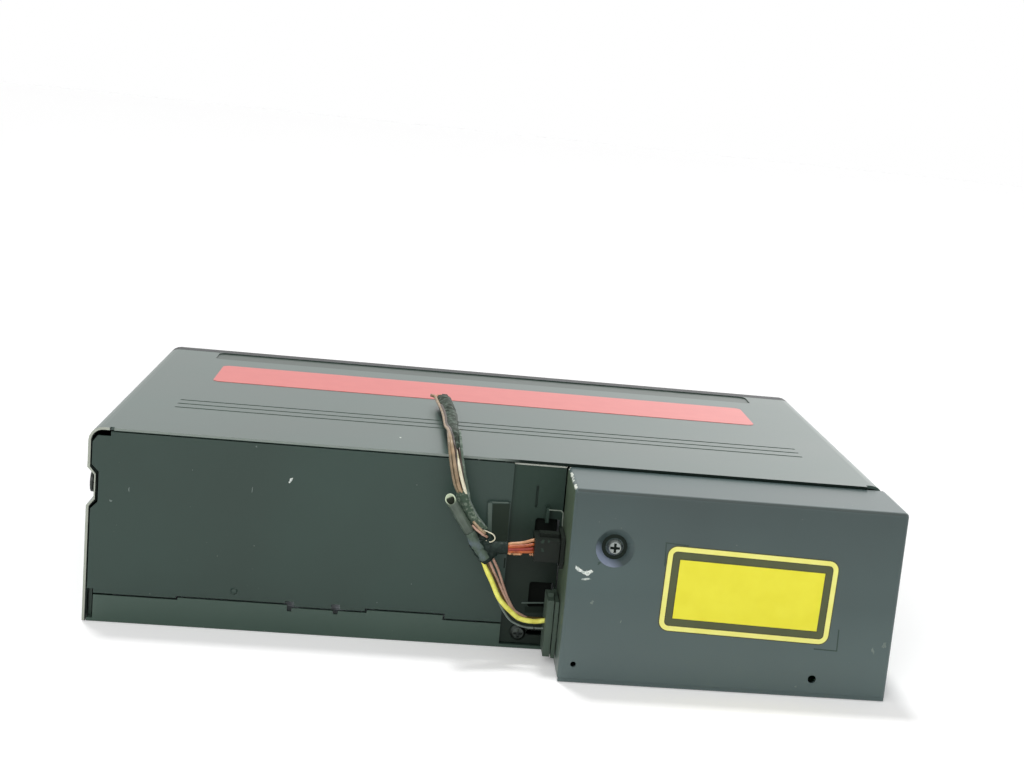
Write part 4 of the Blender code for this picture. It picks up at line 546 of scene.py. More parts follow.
def plate_edge(finish, here, film):
    """The bare cut edge along the top of the connector plate, pale partly as a painted highlight.
    Lower down the plate is painted darker, as painted shadow under the upper plug.
    """
    up = (add_node(finish, "SeparateXYZ", {"Vector": here}), "Z")
    above = add_node(finish, "Math", {0: up, 1: plate_high.z - cut_height}, operation="GREATER_THAN")
    falling = {"From Min": plate_high.z - shade_start, "From Max": plate_high.z - shade_full}
    low = add_node(finish, "MapRange", {"Value": up, **falling, "To Max": 0.72})
    plate_shaded = add_node(finish, "Mix", {0: low, 6: film, 7: "#151e17"}, data_type="RGBA")
    return add_node(finish, "Mix", {0: above, 6: plate_shaded, 7: "#e2e7dc"}, data_type="RGBA"), 0.25


# Painted shade: the plate's enamel is a darker copy of the sheet's, for the shade in the recess.
recess_shaded_enamel = enamel("recess_enamel_painted_shade", "#2a3d34", "#2e4138", 0.46, plate_edge)
dress(recess_shaded_enamel, "connector_plate")
black_nylon = moulded("black_nylon", "#0f1610", "#172018", 0.50, 0.0006, 0.00005, 0.25)
dress(black_nylon, "upper_socket", "upper_plug")
dusty_nylon = moulded("dusty_black_nylon", "#48574c", "#556559", 0.55, 0.0006, 0.00005, 0.35)
dress(dusty_nylon, "lower_socket", "lower_plug")
dark_screw = plated_steel("black_passivated_steel", "#363b39", "#555b57", 0.36)
dress(dark_screw, "connector_plate_screw")
# Painted shade: a black sheet behind the plate's windows, for the shade inside them.
window_shade_sheet = moulded("painted_window_shade", "#080c09", "#0e130f", 0.80, 0.0009, 0.00002, 0.15)
card_thickness = 0.0005
card_depth = 0.0012
card = oblong(-0.0205, 0.0100, -0.0050, 0.0580)
on_rear("window_shade_card", [card], plate_low.y - card_depth, window_shade_sheet, card_thickness)
slit_low = plate_high.z - 0.0160
slit_high = plate_high.z - 0.0060
slit_depth = 0.0004
slit = oblong(-0.0150, slit_low, -0.0118, slit_high)
on_rear("slit_back", [slit], plate_low.y - slit_depth, recess_shaded_enamel)
# Painted highlight: a pale strip along the window's upper and side edges.
lip_highlight_steel = chipped_metal("painted_lip_highlight", "#7d897c", "#98a395")
window_lip_highlight = [
    (-0.01700, 0.04808), (-0.02110, 0.04808), (-0.02180, 0.04740), (-0.02192, 0.04240),
    (-0.02168, 0.04240), (-0.02150, 0.04710), (-0.02095, 0.04774), (-0.01700, 0.04778),
]
on_rear("window_lip_highlight", [window_lip_highlight], plate_high.y, lip_highlight_steel)
tab_rise = 0.0010
tab_face = plate_low.y + tab_rise
# Painted highlight: a paler strip along the tab's edge, above its slot.
tab_edge_highlight = [(-0.0113, 0.0153), (-0.0192, 0.0159), (-0.0192, 0.0154), (-0.0113, 0.0148)]
on_rear("tab_edge_highlight", [tab_edge_highlight], tab_face, highlight_enamel)
# Painted shade: a dark patch in the tab's slot.
tab_slot = [(-0.0125, 0.0139), (-0.0185, 0.0143), (-0.0186, 0.0122), (-0.0126, 0.0118)]
on_rear("tab_slot", [tab_slot], tab_face, recess_shade)
plug_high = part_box("upper_plug")[1]
latch_marks = [
    (-0.0150, 0.0408, 0.0012, 0.0009, 0.3, 11, recess_shaded_enamel),
    (-0.0168, 0.0411, 0.0006, 0.0010, 0.0, 12, recess_shaded_enamel),
    (-0.0152, 0.0381, 0.0009, 0.0012, -0.4, 13, recess_shaded_enamel),
]
ragged_marks("latch_mark", latch_marks, plug_high.y)


# Rear housing and its screw
# The deep box is folded from enamelled sheet, a shade bluer than the panel. Its inner top edge is
# chipped to bare metal. A folded lip closes its foot, and the screw in the dish is plated steel.
housing_low, housing_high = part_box("rear_housing")
side_skin = 0.0001
back_skin = 0.0003
top_shade_reach = 0.024
worn_size = 0.0016
least_worn = 0.00045
most_worn = 0.0011
foot_high = 0.030
foot_low = 0.004
bend_line = 0.0009


def chips_and_painted_light(finish, here, film):
    """Bare metal along the top edge of the side that faces the wiring recess. That side is painted
    a paler, greener tone for the light it lacks, the foot is painted paler as light thrown up
    from the floor, a dark line along the rear bend is painted shade, and the rear face is painted
    darker towards its top as painted shade."""
    parts = add_node(finish, "SeparateXYZ", {"Vector": here})
    up = (parts, "Z")
    at_side = {0: (parts, "X"), 1: housing_high.x - side_skin}
    side = add_node(finish, "Math", at_side, operation="GREATER_THAN")
    at_back = {0: (parts, "Y"), 1: housing_high.y - back_skin}
    on_back = add_node(finish, "Math", at_back, operation="GREATER_THAN")
    # Painted shade: the rear face darkens towards its top.
    rising = {"From Min": housing_high.z - top_shade_reach, "From Max": housing_high.z, "To Max": 0.34}
    top_shade = add_node(finish, "MapRange", {"Value": up, **rising})
    back_top_shade = add_node(finish, "Math", {0: on_back, 1: top_shade}, operation="MULTIPLY")
    crumbs = add_node(finish, "TexNoise", {"Vector": here, "Scale": 1 / worn_size, "Detail": 2.0})
    torn = {"From Min": 0.3, "From Max": 0.7, "To Min": least_worn, "To Max": most_worn}
    reach = add_node(finish, "MapRange", {"Value": crumbs, **torn})
    out_and_up = add_node(finish, "VectorMath", {0: here, 1: (1.0, 0.0, 1.0)}, operation="DOT_PRODUCT")
    from_edge = {0: housing_high.x + housing_high.z, 1: out_and_up}
    depth = add_node(finish, "Math", from_edge, operation="SUBTRACT")
    worn = add_node(finish, "Math", {0: depth, 1: reach}, operation="LESS_THAN")
    # Painted light: the foot is painted paler, as light thrown up from the floor.
    falling = {"From Min": foot_high, "From Max": foot_low, "To Max": 0.6}
    foot_light = add_node(finish, "MapRange", {"Value": up, **falling})
    back_and_up = add_node(finish, "VectorMath", {0: here, 1: (0.0, 1.0, 1.0)}, operation="DOT_PRODUCT")
    # Painted shade: a dark line along the rear bend.
    near_bend = {0: back_and_up, 1: housing_high.y + housing_high.z - bend_line}
    bend = add_node(finish, "Math", near_bend, operation="GREATER_THAN")
    # Painted light on the side facing the recess, which gets a paler, greener tone.
    chips_and_light_tones = {
        "#0c1413": back_top_shade,
        "#556450": side,
        "#5d6d6c": foot_light,
        "#2c3937": bend,
        "#dde2d6": worn,
    }
    for tone, where in chips_and_light_tones.items():
        film = add_node(finish, "Mix", {0: where, 6: film, 7: tone}, data_type="RGBA")
    return film, 0.5


housing_enamel = enamel("blue_grey_stoved_enamel", "#415150", "#465857", 0.36, chips_and_painted_light)
dress(housing_enamel, "rear_housing")
plated_screw = plated_steel("plated_screw_steel", "#6d7472", "#a3a9a6", 0.30)
dress(plated_screw, "rear_housing_screw")
screw_low, screw_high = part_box("rear_housing_screw")
screw_middle = (screw_low + screw_high) / 2
cross_reach = 0.3 * (screw_high.x - screw_low.x)
head_skin = 0.0002
screw_skin = nodes["rear_housing_screw"].data
# Painted shade: the cross in the screw head is dark, as the shade in its recess.
screw_skin.materials.append(recess_shade)
for face in screw_skin.polygons:
    aside = math.hypot(face.center.x - screw_middle.x, face.center.z - screw_middle.z)
    if aside < cross_reach and face.center.y < screw_high.y - head_skin:
        face.material_index = 1
lip_inset = 0.0002
lip_depth = 0.0011
lip_low = 0.0001
lip = round_corners(
    housing_low.x + lip_inset, housing_high.y - lip_inset - lip_depth, housing_high.x - lip_inset,
    housing_high.y - lip_inset, lip_depth / 2.2,
)
lip_high = housing_low.z - lip_low
lip_place = Matrix.Translation((0, 0, (lip_high + lip_low) / 2))
show("housing_lip", slab_mesh([lip], lip_high - lip_low), housing_enamel, lip_place)
housing_face = housing_high.y
long_chip = [
    (-0.02462, 0.03790), (-0.02500, 0.03752), (-0.02545, 0.03748), (-0.02605, 0.03690),
    (-0.02660, 0.03668), (-0.02712, 0.03622), (-0.02770, 0.03618), (-0.02814, 0.03650),
    (-0.02850, 0.03632), (-0.02894, 0.03668), (-0.02942, 0.03690), (-0.02980, 0.03660),
    (-0.03020, 0.03630), (-0.02985, 0.03590), (-0.02926, 0.03560), (-0.02890, 0.03500),
    (-0.02830, 0.03475), (-0.02780, 0.03520), (-0.02710, 0.03535), (-0.02635, 0.03590),
    (-0.02560, 0.03600), (-0.02493, 0.03640), (-0.02450, 0.03700),
]
on_rear("housing_chip", [long_chip], housing_face, chip_metal)
housing_flecks = [
    (-0.0282, 0.0338, 0.0027, 0.0006, -0.15, 7, primer_chip),
    (-0.0318, 0.0392, 0.0012, 0.0008, -0.7, 17, shaded_panel_enamel),
    (-0.0308, 0.0265, 0.0009, 0.0012, 0.6, 8, scuff_metal),
    (-0.0403, 0.0209, 0.0004, 0.0010, 0.3, 6, scuff_metal),
    (-0.1215, 0.0168, 0.0008, 0.0020, -0.3, 9, scuff_metal),
    (-0.1249, 0.0188, 0.0012, 0.0018, 0.1, 10, scuff_metal),
    (-0.0981, 0.0032, 0.0006, 0.0007, 0.0, 14, scuff_metal),
]
ragged_marks("housing_fleck", housing_flecks, housing_face)
dish_x = (screw_low.x + screw_high.x) / 2
dish_z = (screw_low.z + screw_high.z) / 2
dish_out = 0.0060
dish_in = 0.0040
dish_deep = 0.0022
skin = 0.00013
rim_sides = 64
floor_hole = 0.0028
floor_sides = 48


def dish_rim():
    """A film on the slope of the dish, as a ring of quads."""
    work = bmesh.new()
    rings = []
    for reach, depth in ((dish_out, 0.0), ((dish_out + dish_in) / 2, 0.5), (dish_in, 1.0)):
        ring = []
        for k in range(rim_sides):
            angle = math.tau * k / rim_sides
            x = dish_x + reach * math.cos(angle)
            z = dish_z + reach * math.sin(angle)
            ring.append(work.verts.new((x, housing_high.y - dish_deep * depth + skin, z)))
        rings.append(ring)
    for outer, inner in zip(rings, rings[1:]):
        for k in range(rim_sides):
            work.faces.new((outer[k - 1], outer[k], inner[k], inner[k - 1]))
    bmesh.ops.recalc_face_normals(work, faces=work.faces)
    made = bpy.data.meshes.new("dish_rim")
    work.to_mesh(made)
    work.free()
    return made


def dish_light_and_shade():
    """Enamel on the slope of the dish, with a painted highlight on the lower side and painted shade
    above.
    """
    made, here = new_finish("dish_enamel_painted_light")
    middle = (dish_x, 0.0, dish_z)
    from_middle = add_node(made, "VectorMath", {0: here, 1: middle}, operation="SUBTRACT")
    downhill = (130.0, 0.0, -150.0)
    lower = add_node(made, "VectorMath", {0: from_middle, 1: downhill}, operation="DOT_PRODUCT")
    pale = add_node(made, "MapRange", {"Value": lower, "From Min": 0.35, "From Max": 0.95})
    dark = add_node(made, "MapRange", {"Value": lower, "From Min": -0.2, "From Max": -0.9})
    shaded = add_node(made, "Mix", {0: dark, 6: "#3b4949", 7: "#4d5c5c"}, data_type="RGBA")
    colour = add_node(made, "Mix", {0: pale, 6: shaded, 7: "#7f8a9e"}, data_type="RGBA")
    return finished(made, {"Base Color": colour, "Roughness": 0.34})


# Painted highlight and shade on the slope of the dish.
show("dish_rim", dish_rim(), dish_light_and_shade())
# Painted shade: a dark ring on the floor of the dish round the screw.
floor_rings = []
for reach in (dish_in, floor_hole):
    ring = [math.tau * k / floor_sides for k in range(floor_sides)]
    floor_rings.append([(dish_x + reach * math.cos(a), dish_z + reach * math.sin(a)) for a in ring])
on_rear("dish_floor", floor_rings, housing_high.y - dish_deep, recess_shade)


# Plain sticker on the housing
# A yellow vinyl sticker with a printed frame and a plain yellow field, each with a thin dark
# outline. It was stuck on a little crooked. Two pressed marks in the steel show where it goes;
# they are drawn as dark enamel strips, painted shade of the pressing.
sticker_x = -0.0796
sticker_z = 0.0320
sticker_tilt = math.radians(-1.4)
border_half_x = 0.0271
border_half_z = 0.0136
border_corner = 0.0030
border_width = 0.00155
outline_width = 0.0003
field_half_x = 0.0231
field_half_z = 0.0095
film_thickness = 0.00008
ink_thickness = 0.00002
frame_ink = printed_vinyl("grey_brown_ink", "#444b28", "#4b522e", 0.38)
outline_ink = printed_vinyl("dark_olive_ink", "#3a390c", "#413f12", 0.38)
border_ink = printed_vinyl("pale_yellow_ink", "#f3ee7a", "#f8f48c", 0.36)
field_ink = printed_vinyl("yellow_ink", "#efe62b", "#f4ec35", 0.36)


def stuck_on(name, outlines, height, thickness, finish):
    """A layer of the sticker, drawn about its own middle."""
    turned = []
    for outline in outlines:
        turned.append([turned_by(-sticker_tilt, sticker_x, sticker_z, x, z) for x, z in outline])
    on_rear(name, turned, housing_face + height, finish, thickness)


def frame_outline(grow):
    """The border's rounded outline, grown or shrunk."""
    x = border_half_x + grow
    z = border_half_z + grow
    return round_corners(-x, -z, x, z, border_corner + grow)


def field_outline(grow):
    """The field's sharp outline, grown or shrunk."""
    x = field_half_x + grow
    z = field_half_z + grow
    return oblong(-x, -z, x, z)


stuck_on("sticker_film", [frame_outline(outline_width)], 0.0, film_thickness, outline_ink)
inner_edge = -border_width - outline_width
layer = film_thickness
stuck_on("sticker_frame", [frame_outline(inner_edge)], layer, ink_thickness, frame_ink)
border = [frame_outline(0.0), frame_outline(-border_width)]
stuck_on("sticker_border", border, layer, ink_thickness, border_ink)
layer += ink_thickness
stuck_on("field_edge", [field_outline(outline_width)], layer, ink_thickness, outline_ink)
layer += ink_thickness
stuck_on("sticker_field", [field_outline(0.0)], layer, ink_thickness, field_ink)
mark_width = 0.0004
corner_marks = {
    "corner_mark_high": ((-0.0516, 0.0473), (-0.0589, 0.0469), (-0.0519, 0.0396)),
    "corner_mark_low": ((-0.1100, 0.0157), (-0.1023, 0.0159), (-0.1098, 0.0230)),
}
# Painted shade: each pressed mark is a dark enamel strip, standing for the shade in the pressing.
for name, (corner, along, down) in corner_marks.items():
    inwards_x = math.copysign(mark_width, along[0] - corner[0])
    inwards_z = math.copysign(mark_width, down[1] - corner[1])
    far = (along[0], along[1] + inwards_z)
    inner = (corner[0] + inwards_x, corner[1] + inwards_z)
    mark = [corner, along, far, inner, (down[0] + inwards_x, down[1]), down]
    on_rear(name, [mark], housing_face, shaded_panel_enamel)


# Wiring loom
# The loom was cut off for scrap. A taped trunk leaves the junction, bends over the lid's edge and
# ends in bare wire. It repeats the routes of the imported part, in metres.
trunk_route = [
    (0.0028, 0.0763, 0.0414), (0.0066, 0.0754, 0.0464), (0.0104, 0.0747, 0.0530),
    (0.0127, 0.0736, 0.0589), (0.0139, 0.0712, 0.0642), (0.0144, 0.0665, 0.0674),
    (0.0147, 0.0610, 0.0683), (0.0149, 0.0540, 0.0675), (0.0151, 0.0462, 0.0661),
    (0.0154, 0.0360, 0.0657), (0.0156, 0.0260, 0.0657), (0.0158, 0.0160, 0.0657),
    (0.0162, 0.0060, 0.0657), (0.0167, -0.0040, 0.0657), (0.0173, -0.0141, 0.0657),
]
trunk_step = 0.0004
trunk_sides = 40


def smooth_line(points, step):
    """Points about a step apart on one smooth curve through a route."""
    ends = [
        Vector(points[0]) * 2 - Vector(points[1]), *[Vector(p) for p in points],
        Vector(points[-1]) * 2 - Vector(points[-2]),
    ]
    made = []
    for a, b, c, d in zip(ends, ends[1:], ends[2:], ends[3:]):
        count = max(1, round((c - b).length / step))
        for j in range(count):
            t = j / count
            pull = (2 * a - 5 * b + 4 * c - d) * t * t + (3 * b - a - 3 * c + d) * t * t * t
            made.append((2 * b + (c - a) * t + pull) / 2)
    made.append(ends[-2])
    return made


def frames_along(line):
    """At each point of a line, the way ahead, a side towards +X and the side square to both."""
    made = []
    for i in range(len(line)):
        ahead = (line[min(i + 1, len(line) - 1)] - line[max(i - 1, 0)]).normalized()
        across = (Vector((1, 0, 0)) - ahead * ahead.x).normalized()
        made.append((ahead, across, ahead.cross(across)))
    return made


def spokes(frame_there, sides):
    """The angle and the way outwards of each point of a ring about a line."""
    ahead, across, out = frame_there
    angles = [math.tau * k / sides for k in range(sides)]
    return [(angle, across * math.cos(angle) + out * math.sin(angle)) for angle in angles]


def ringed_mesh(name, rings, capped):
    """Quads between rings of points. Its ends are capped, or else joined to each other."""
    work = bmesh.new()
    drawn = [[work.verts.new(point) for point in ring] for ring in rings]
    for low, high in zip(drawn, drawn[1:] if capped else drawn[1:] + drawn[:1]):
        for k in range(len(low)):
            work.faces.new((low[k], low[k - 1], high[k - 1], high[k]))
    if capped:
        work.faces.new(drawn[0])
        work.faces.new(drawn[-1][::-1])
    bmesh.ops.recalc_face_normals(work, faces=work.faces)
    for face in work.faces:
        face.smooth = len(face.verts) == 4
    made = bpy.data.meshes.new(name)
    work.to_mesh(made)
    work.free()
    return made


def swept(line, radius_at, sides):
    """A closed tube along a line. radius_at gives its radius at a distance and an angle."""
    rings = []
    gone = 0.0
    for i, (point, frame_there) in enumerate(zip(line, frames_along(line))):
        if i:
            gone += (point - line[i - 1]).length
        ring = [point + away * radius_at(gone, angle) for angle, away in spokes(frame_there, sides)]
        rings.append(ring)
    return ringed_mesh("swept", rings, True)


trunk_line = smooth_line(trunk_route, trunk_step)
distances = [0.0]
for a, b in zip(trunk_line, trunk_line[1:]):
    distances.append(distances[-1] + (b - a).length)
trunk_length = distances[-1]
bare_from = 0.0150
bare_to = 0.0275
bare_end = 0.0012
tape_end = trunk_length - bare_end
cloth_fade = 0.0008
tape_fade = 0.0006
cloth_radius = 0.0018
core_radius = 0.0008
tape_pitch = 0.0130
tape_lap = 0.0003
wrinkle = 0.0003
crease_length = 0.0045
weave_length = 0.0012
cloth_crease = 0.00015
cloth_weave = 0.00010
tape_weave = 0.00005
torn_depth = 0.0020


def eased(value, start, end):
    """Goes smoothly from 0 at start to 1 at end."""
    share = min(1.0, max(0.0, (value - start) / (end - start)))
    return share * share * (3 - 2 * share)


def between(value, stops):
    """Reads a value off straight lines between stops."""
    for (x0, y0), (x1, y1) in zip(stops, stops[1:]):
        if value <= x1:
            return y0 + (y1 - y0) * max(0.0, value - x0) / (x1 - x0)
    return stops[-1][1]


tape_radii = [(0.0, 0.0014), (0.034, 0.00145), (0.045, 0.0018), (0.085, 0.0025), (0.120, 0.0026)]
leanings = [
    (0.0, 0.0010), (0.0063, 0.0014), (0.0140, 0.0012), (0.0180, 0.0004), (0.0260, 0.0), (0.0728, 0.0),
    (0.0950, 0.0004), (0.1130, 0.0011),
]


def trunk_reach(gone, angle):
    """The trunk's radius: cloth tape below, bare core in the middle, wound tape on the lid."""
    round_it = Vector((math.cos(angle) * 1.3, math.sin(angle) * 1.3, 0.0))
    torn = gone + torn_depth * noise.noise(round_it * 1.5 + Vector((0, 0, 4.0)))
    cloth = cloth_radius * (1 - eased(torn, bare_from - cloth_fade, bare_from))
    tape_off = eased(torn, tape_end - tape_fade, tape_end)
    tape_on = eased(torn, bare_to, bare_to + cloth_fade) * (1 - tape_off)
    tape = between(gone, tape_radii) * tape_on
    if max(cloth, tape) < core_radius:
        return core_radius
    lap = (gone / tape_pitch - angle / math.tau) % 1.0
    crease = 1 - abs(noise.noise(round_it + Vector((0, 0, gone / crease_length)))) * 2
    fine = noise.noise(round_it * 2 + Vector((0, 0, gone / weave_length)))
    if cloth > tape:
        return cloth + cloth_weave * fine + cloth_crease * crease
    return tape + tape_lap * (lap - 0.6) + wrinkle * (crease - 0.6) + tape_weave * fine


def wound_tape(name, deep, pale, roughness, crease_size, gloss):
    """Adhesive tape: dark and creased, or woven and rough. It is paler on its raised creases,
    partly as rubbed wear and partly as a painted highlight.
    """
    made, here = new_finish(name)
    colour, crease = two_tone(made, here, crease_size, 3.0, 0.48, 0.75, deep, pale)
    bump = add_node(made, "Bump", {"Height": crease, "Strength": 0.6, "Distance": 0.0002})
    look = {"Base Color": colour, "Roughness": roughness, "Specular IOR Level": gloss}
    return finished(made, {**look, "Normal": bump})


vinyl_tape = wound_tape("worn_vinyl_tape", "#303930", "#6c7b70", 0.50, 0.0016, 0.06)
cloth_tape = wound_tape("grey_cloth_tape", "#495a4c", "#929e8e", 0.65, 0.0009, 0.15)
joint_tape = wound_tape("grey_black_tape", "#1a2622", "#31403a", 0.45, 0.0035, 0.15)
rubbed_tape = wound_tape("rubbed_grey_tape", "#536256", "#697580", 0.45, 0.0035, 0.20)
torn_tape = wound_tape("torn_pale_tape", "#58675c", "#8d998f", 0.50, 0.0016, 0.10)
handled_size = 0.003


def wire_skin(name, deep, pale):
    """Soft PVC insulation, smooth with a slight sheen and dulled by handling."""
    made, here = new_finish(name)
    colour = two_tone(made, here, handled_size, 3.0, 0.40, 0.75, pale, deep)[0]
    return finished(made, {"Base Color": colour, "Roughness": 0.36})


yellow_skin = wire_skin("yellow_wire_skin", "#e2da52", "#fdfb7a")
orange_skin = wire_skin("orange_wire_skin", "#94401a", "#c5622a")
peach_skin = wire_skin("peach_wire_skin", "#b07a50", "#dda478")
pink_skin = wire_skin("pink_wire_skin", "#8f6d5c", "#c6a08c")
red_skin = wire_skin("red_wire_skin", "#7c241b", "#a93a2a")
cream_skin = wire_skin("cream_wire_skin", "#c9c19c", "#f1ebd2")
brown_skin = wire_skin("brown_wire_skin", "#1f140c", "#352011")
ochre_skin = wire_skin("ochre_wire_skin", "#3c2e0c", "#5c4817")
grey_skin = wire_skin("grey_wire_skin", "#4d5852", "#74807a")
tan_skin = wire_skin("tan_wire_skin", "#7c6a50", "#ab9273")
dull_tan_skin = wire_skin("dull_tan_wire_skin", "#625541", "#8f7d62")
copper_strand = plated_steel("copper_strand", "#c47a4e", "#ecb58a", 0.30)
strand_step = 0.0005


def strand(name, route, radius, finish, sides=14, thin_start=0.0):
    """One wire along a route. It may swell to its full radius over its first part."""

    def reach(gone, angle):
        return radius * (0.6 + 0.4 * eased(gone, 0.0, thin_start)) if thin_start else radius

    return show(name, swept(smooth_line(route, strand_step), reach, sides), finish)


def strands(runs):
    """One wire for each name, with its finish, radius and route."""
    return [strand(name, route, radius, finish) for name, (finish, radius, *route) in runs.items()]


trunk_frames = frames_along(trunk_line)


def beside(gone, side, out):
    """A place beside the trunk: so far along it, to its side and out of it."""
    i = min(range(len(distances)), key=lambda j: abs(distances[j] - gone))
    ahead, across, outwards = trunk_frames[i]
    return tuple(trunk_line[i] + across * side + outwards * out)


tape_line = []
for point, gone, (ahead, across, out) in zip(trunk_line, distances, trunk_frames):
    tape_line.append(point + across * between(gone, leanings))
trunk = show("loom_trunk", swept(tape_line, trunk_reach, trunk_sides), vinyl_tape)
trunk.data.materials.append(cloth_tape)
trunk.data.materials.append(brown_skin)
covers = []
for gone in distances:
    if gone < bare_from + torn_depth / 3:
        covers.append(1)
    elif gone < bare_to or gone > tape_end:
        covers.append(2)
    else:
        covers.append(0)
for face in trunk.data.polygons:
    face.material_index = covers[min(face.vertices) // trunk_sides]
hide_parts("harness_trunk")

loom_runs = {
    "dull_tan_wire": (
        dull_tan_skin, 0.00046, (0.0120, 0.0016, 0.0004), (0.0158, 0.0022, 0.0010),
        (0.0185, 0.0022, 0.0012), (0.0215, 0.0021, 0.0012), (0.0264, 0.0022, 0.0012),
        (0.0320, 0.0023, 0.0010), (0.0420, 0.0020, 0.0004),
    ),
    "tan_wire": (
        tan_skin, 0.00056, (0.0120, 0.0010, 0.0006), (0.0158, 0.0012, 0.0013), (0.0185, 0.0011, 0.0016),
        (0.0215, 0.0010, 0.0016), (0.0264, 0.0012, 0.0014), (0.0320, 0.0017, 0.0011),
        (0.0420, 0.0020, 0.0009), (0.0600, 0.0022, 0.0008), (0.0760, 0.0024, 0.0007),
        (0.0900, 0.0028, 0.0006), (0.1020, 0.0034, 0.0006), (0.1120, 0.0039, 0.0008),
        (0.1180, 0.0046, 0.0010), (0.1225, 0.0056, 0.0012),
    ),
    "brown_wire": (
        brown_skin, 0.00042, (0.0120, 0.0008, 0.0004), (0.0158, 0.0009, 0.0010), (0.0215, 0.0005, 0.0014),
        (0.0264, 0.0004, 0.0014), (0.0320, 0.0010, 0.0012), (0.0420, 0.0015, 0.0012),
        (0.0600, 0.0018, 0.0013), (0.0760, 0.0019, 0.0014), (0.0900, 0.0024, 0.0013),
        (0.0960, 0.0027, 0.0010),
    ),
    "cream_wire": (
        cream_skin, 0.00056, (0.0120, 0.0002, 0.0004), (0.0150, -0.0002, 0.0012),
        (0.0180, -0.0003, 0.0015), (0.0210, -0.0003, 0.0014), (0.0240, -0.0001, 0.0011),
        (0.0270, 0.0002, 0.0007), (0.0300, 0.0004, 0.0002),
    ),
    "dark_wire": (
        brown_skin, 0.00062, (0.0110, 0.0000, 0.0000), (0.0158, -0.0009, 0.0006),
        (0.0215, -0.0012, 0.0008), (0.0264, -0.0010, 0.0006), (0.0320, -0.0006, 0.0000),
    ),
    "torn_strip": (
        torn_tape, 0.00044, (0.0100, 0.0000, 0.0004), (0.0130, -0.0008, 0.0008),
        (0.0158, -0.0013, 0.0010), (0.0204, -0.0016, 0.0011), (0.0264, -0.0016, 0.0011),
        (0.0320, -0.0015, 0.0009), (0.0400, -0.0016, 0.0007), (0.0480, -0.0019, 0.0005),
    ),
    "cloth_edge": (
        grey_skin, 0.00030, (0.0010, -0.0004, 0.0009), (0.0060, -0.0001, 0.0009),
        (0.0110, -0.0003, 0.0008), (0.0150, -0.0008, 0.0010),
    ),
}
loom_wires = []
for name, (finish, radius, *stops) in loom_runs.items():
    loom_wires.append(strand(name, [beside(*stop) for stop in stops], radius, finish))
loose_runs = {
    "torn_pink_wire": (
        pink_skin, 0.00042, (0.0072, 0.0780, 0.0430), (0.0060, 0.0794, 0.0422), (0.0047, 0.0797, 0.0414),
        (0.0034, 0.0796, 0.0405), (0.0023, 0.0790, 0.0399),
    ),
    "torn_tan_wire": (
        tan_skin, 0.00042, (0.0070, 0.0778, 0.0441), (0.0056, 0.0794, 0.0431), (0.0043, 0.0797, 0.0421),
        (0.0031, 0.0794, 0.0411),
    ),
    "tape_thread": (
        cream_skin, 0.00018, (0.0036, 0.0783, 0.0418), (0.0022, 0.0792, 0.0416), (0.0004, 0.0794, 0.0408),
        (-0.0001, 0.0794, 0.0394), (0.0012, 0.0794, 0.0384), (0.0026, 0.0788, 0.0386),
    ),
}
loom_wires += strands(loose_runs)
end_point = tape_line[-1]
end_ahead, end_across, end_out = trunk_frames[-1]
cut_ends = (
    (0.0016, 0.0008, 0.0026, 0.0008, copper_strand), (0.0011, 0.0012, 0.0021, 0.0006, copper_strand),
    (0.0006, 0.0014, 0.0017, 0.0003, copper_strand), (0.0000, 0.0010, 0.0014, 0.0001, red_skin),
    (-0.0008, 0.0008, 0.0010, -0.0002, red_skin), (-0.0013, 0.0003, 0.0020, -0.0012, red_skin),
)
hidden_length = 0.004
cut_end_radius = 0.00030
for i, (side, up, reach, spread, finish) in enumerate(cut_ends):
    start = end_point - end_ahead * hidden_length + end_across * side * 0.7 + end_out * up * 0.5
    tip = end_point + end_ahead * reach + end_across * (side + spread) + end_out * up
    bits = [start.lerp(tip, share / 4) for share in range(5)]
    loom_wires.append(strand(f"cut_end_{i + 1}", bits, cut_end_radius, finish))


# Loom junction and its empty sleeve
# Black vinyl tape binds the three branches. Beside the trunk an empty grey sleeve stands out of
# the tape, cut at a slant, with its pale rim open.
junction_routes = {
    "body": ([(0.0014, 0.0775, 0.0318), (0.0034, 0.0777, 0.0345), (0.0058, 0.0779, 0.0377)], 0.0026),
    "branch": ([(-0.0045, 0.0774, 0.0363), (0.0000, 0.0775, 0.0362), (0.0034, 0.0776, 0.0356)], 0.0022),
    "collar": ([(0.0044, 0.0776, 0.0352), (0.0040, 0.0770, 0.0392), (0.0042, 0.0764, 0.0420)], 0.0018),
    "web": ([(0.0026, 0.0775, 0.0385), (0.0006, 0.0775, 0.0362), (0.0004, 0.0775, 0.0335)], 0.0019),
}
stub_route = [(0.0060, 0.0780, 0.0381), (0.0106, 0.0786, 0.0447), (0.0149, 0.0788, 0.0512)]
stub_radius = 0.00165
stub_wall = 0.00035
rim_slant = 0.0014
slant_rings = 12
tube_step = 0.0003
tube_sides = 36
skin_voxel = 0.00022
lump = 0.0003
lump_length = 0.0025
lap_pitch = 0.0045
lit_start = 0.0001
lit_full = 0.0005
cut_start = 0.0025
cut_full = 0.0021
rim_start = -0.0012


def wound_reach(radius, seed):
    """A wound radius with laps and creases."""

    def reach(gone, angle):
        at = Vector((math.cos(angle) * 1.4, math.sin(angle) * 1.4 + seed, gone / lump_length))
        lap = (gone / lap_pitch + angle / math.tau) % 1.0
        return radius * 0.94 + lump * noise.noise(at) + lump * (lap - 0.5)

    return reach


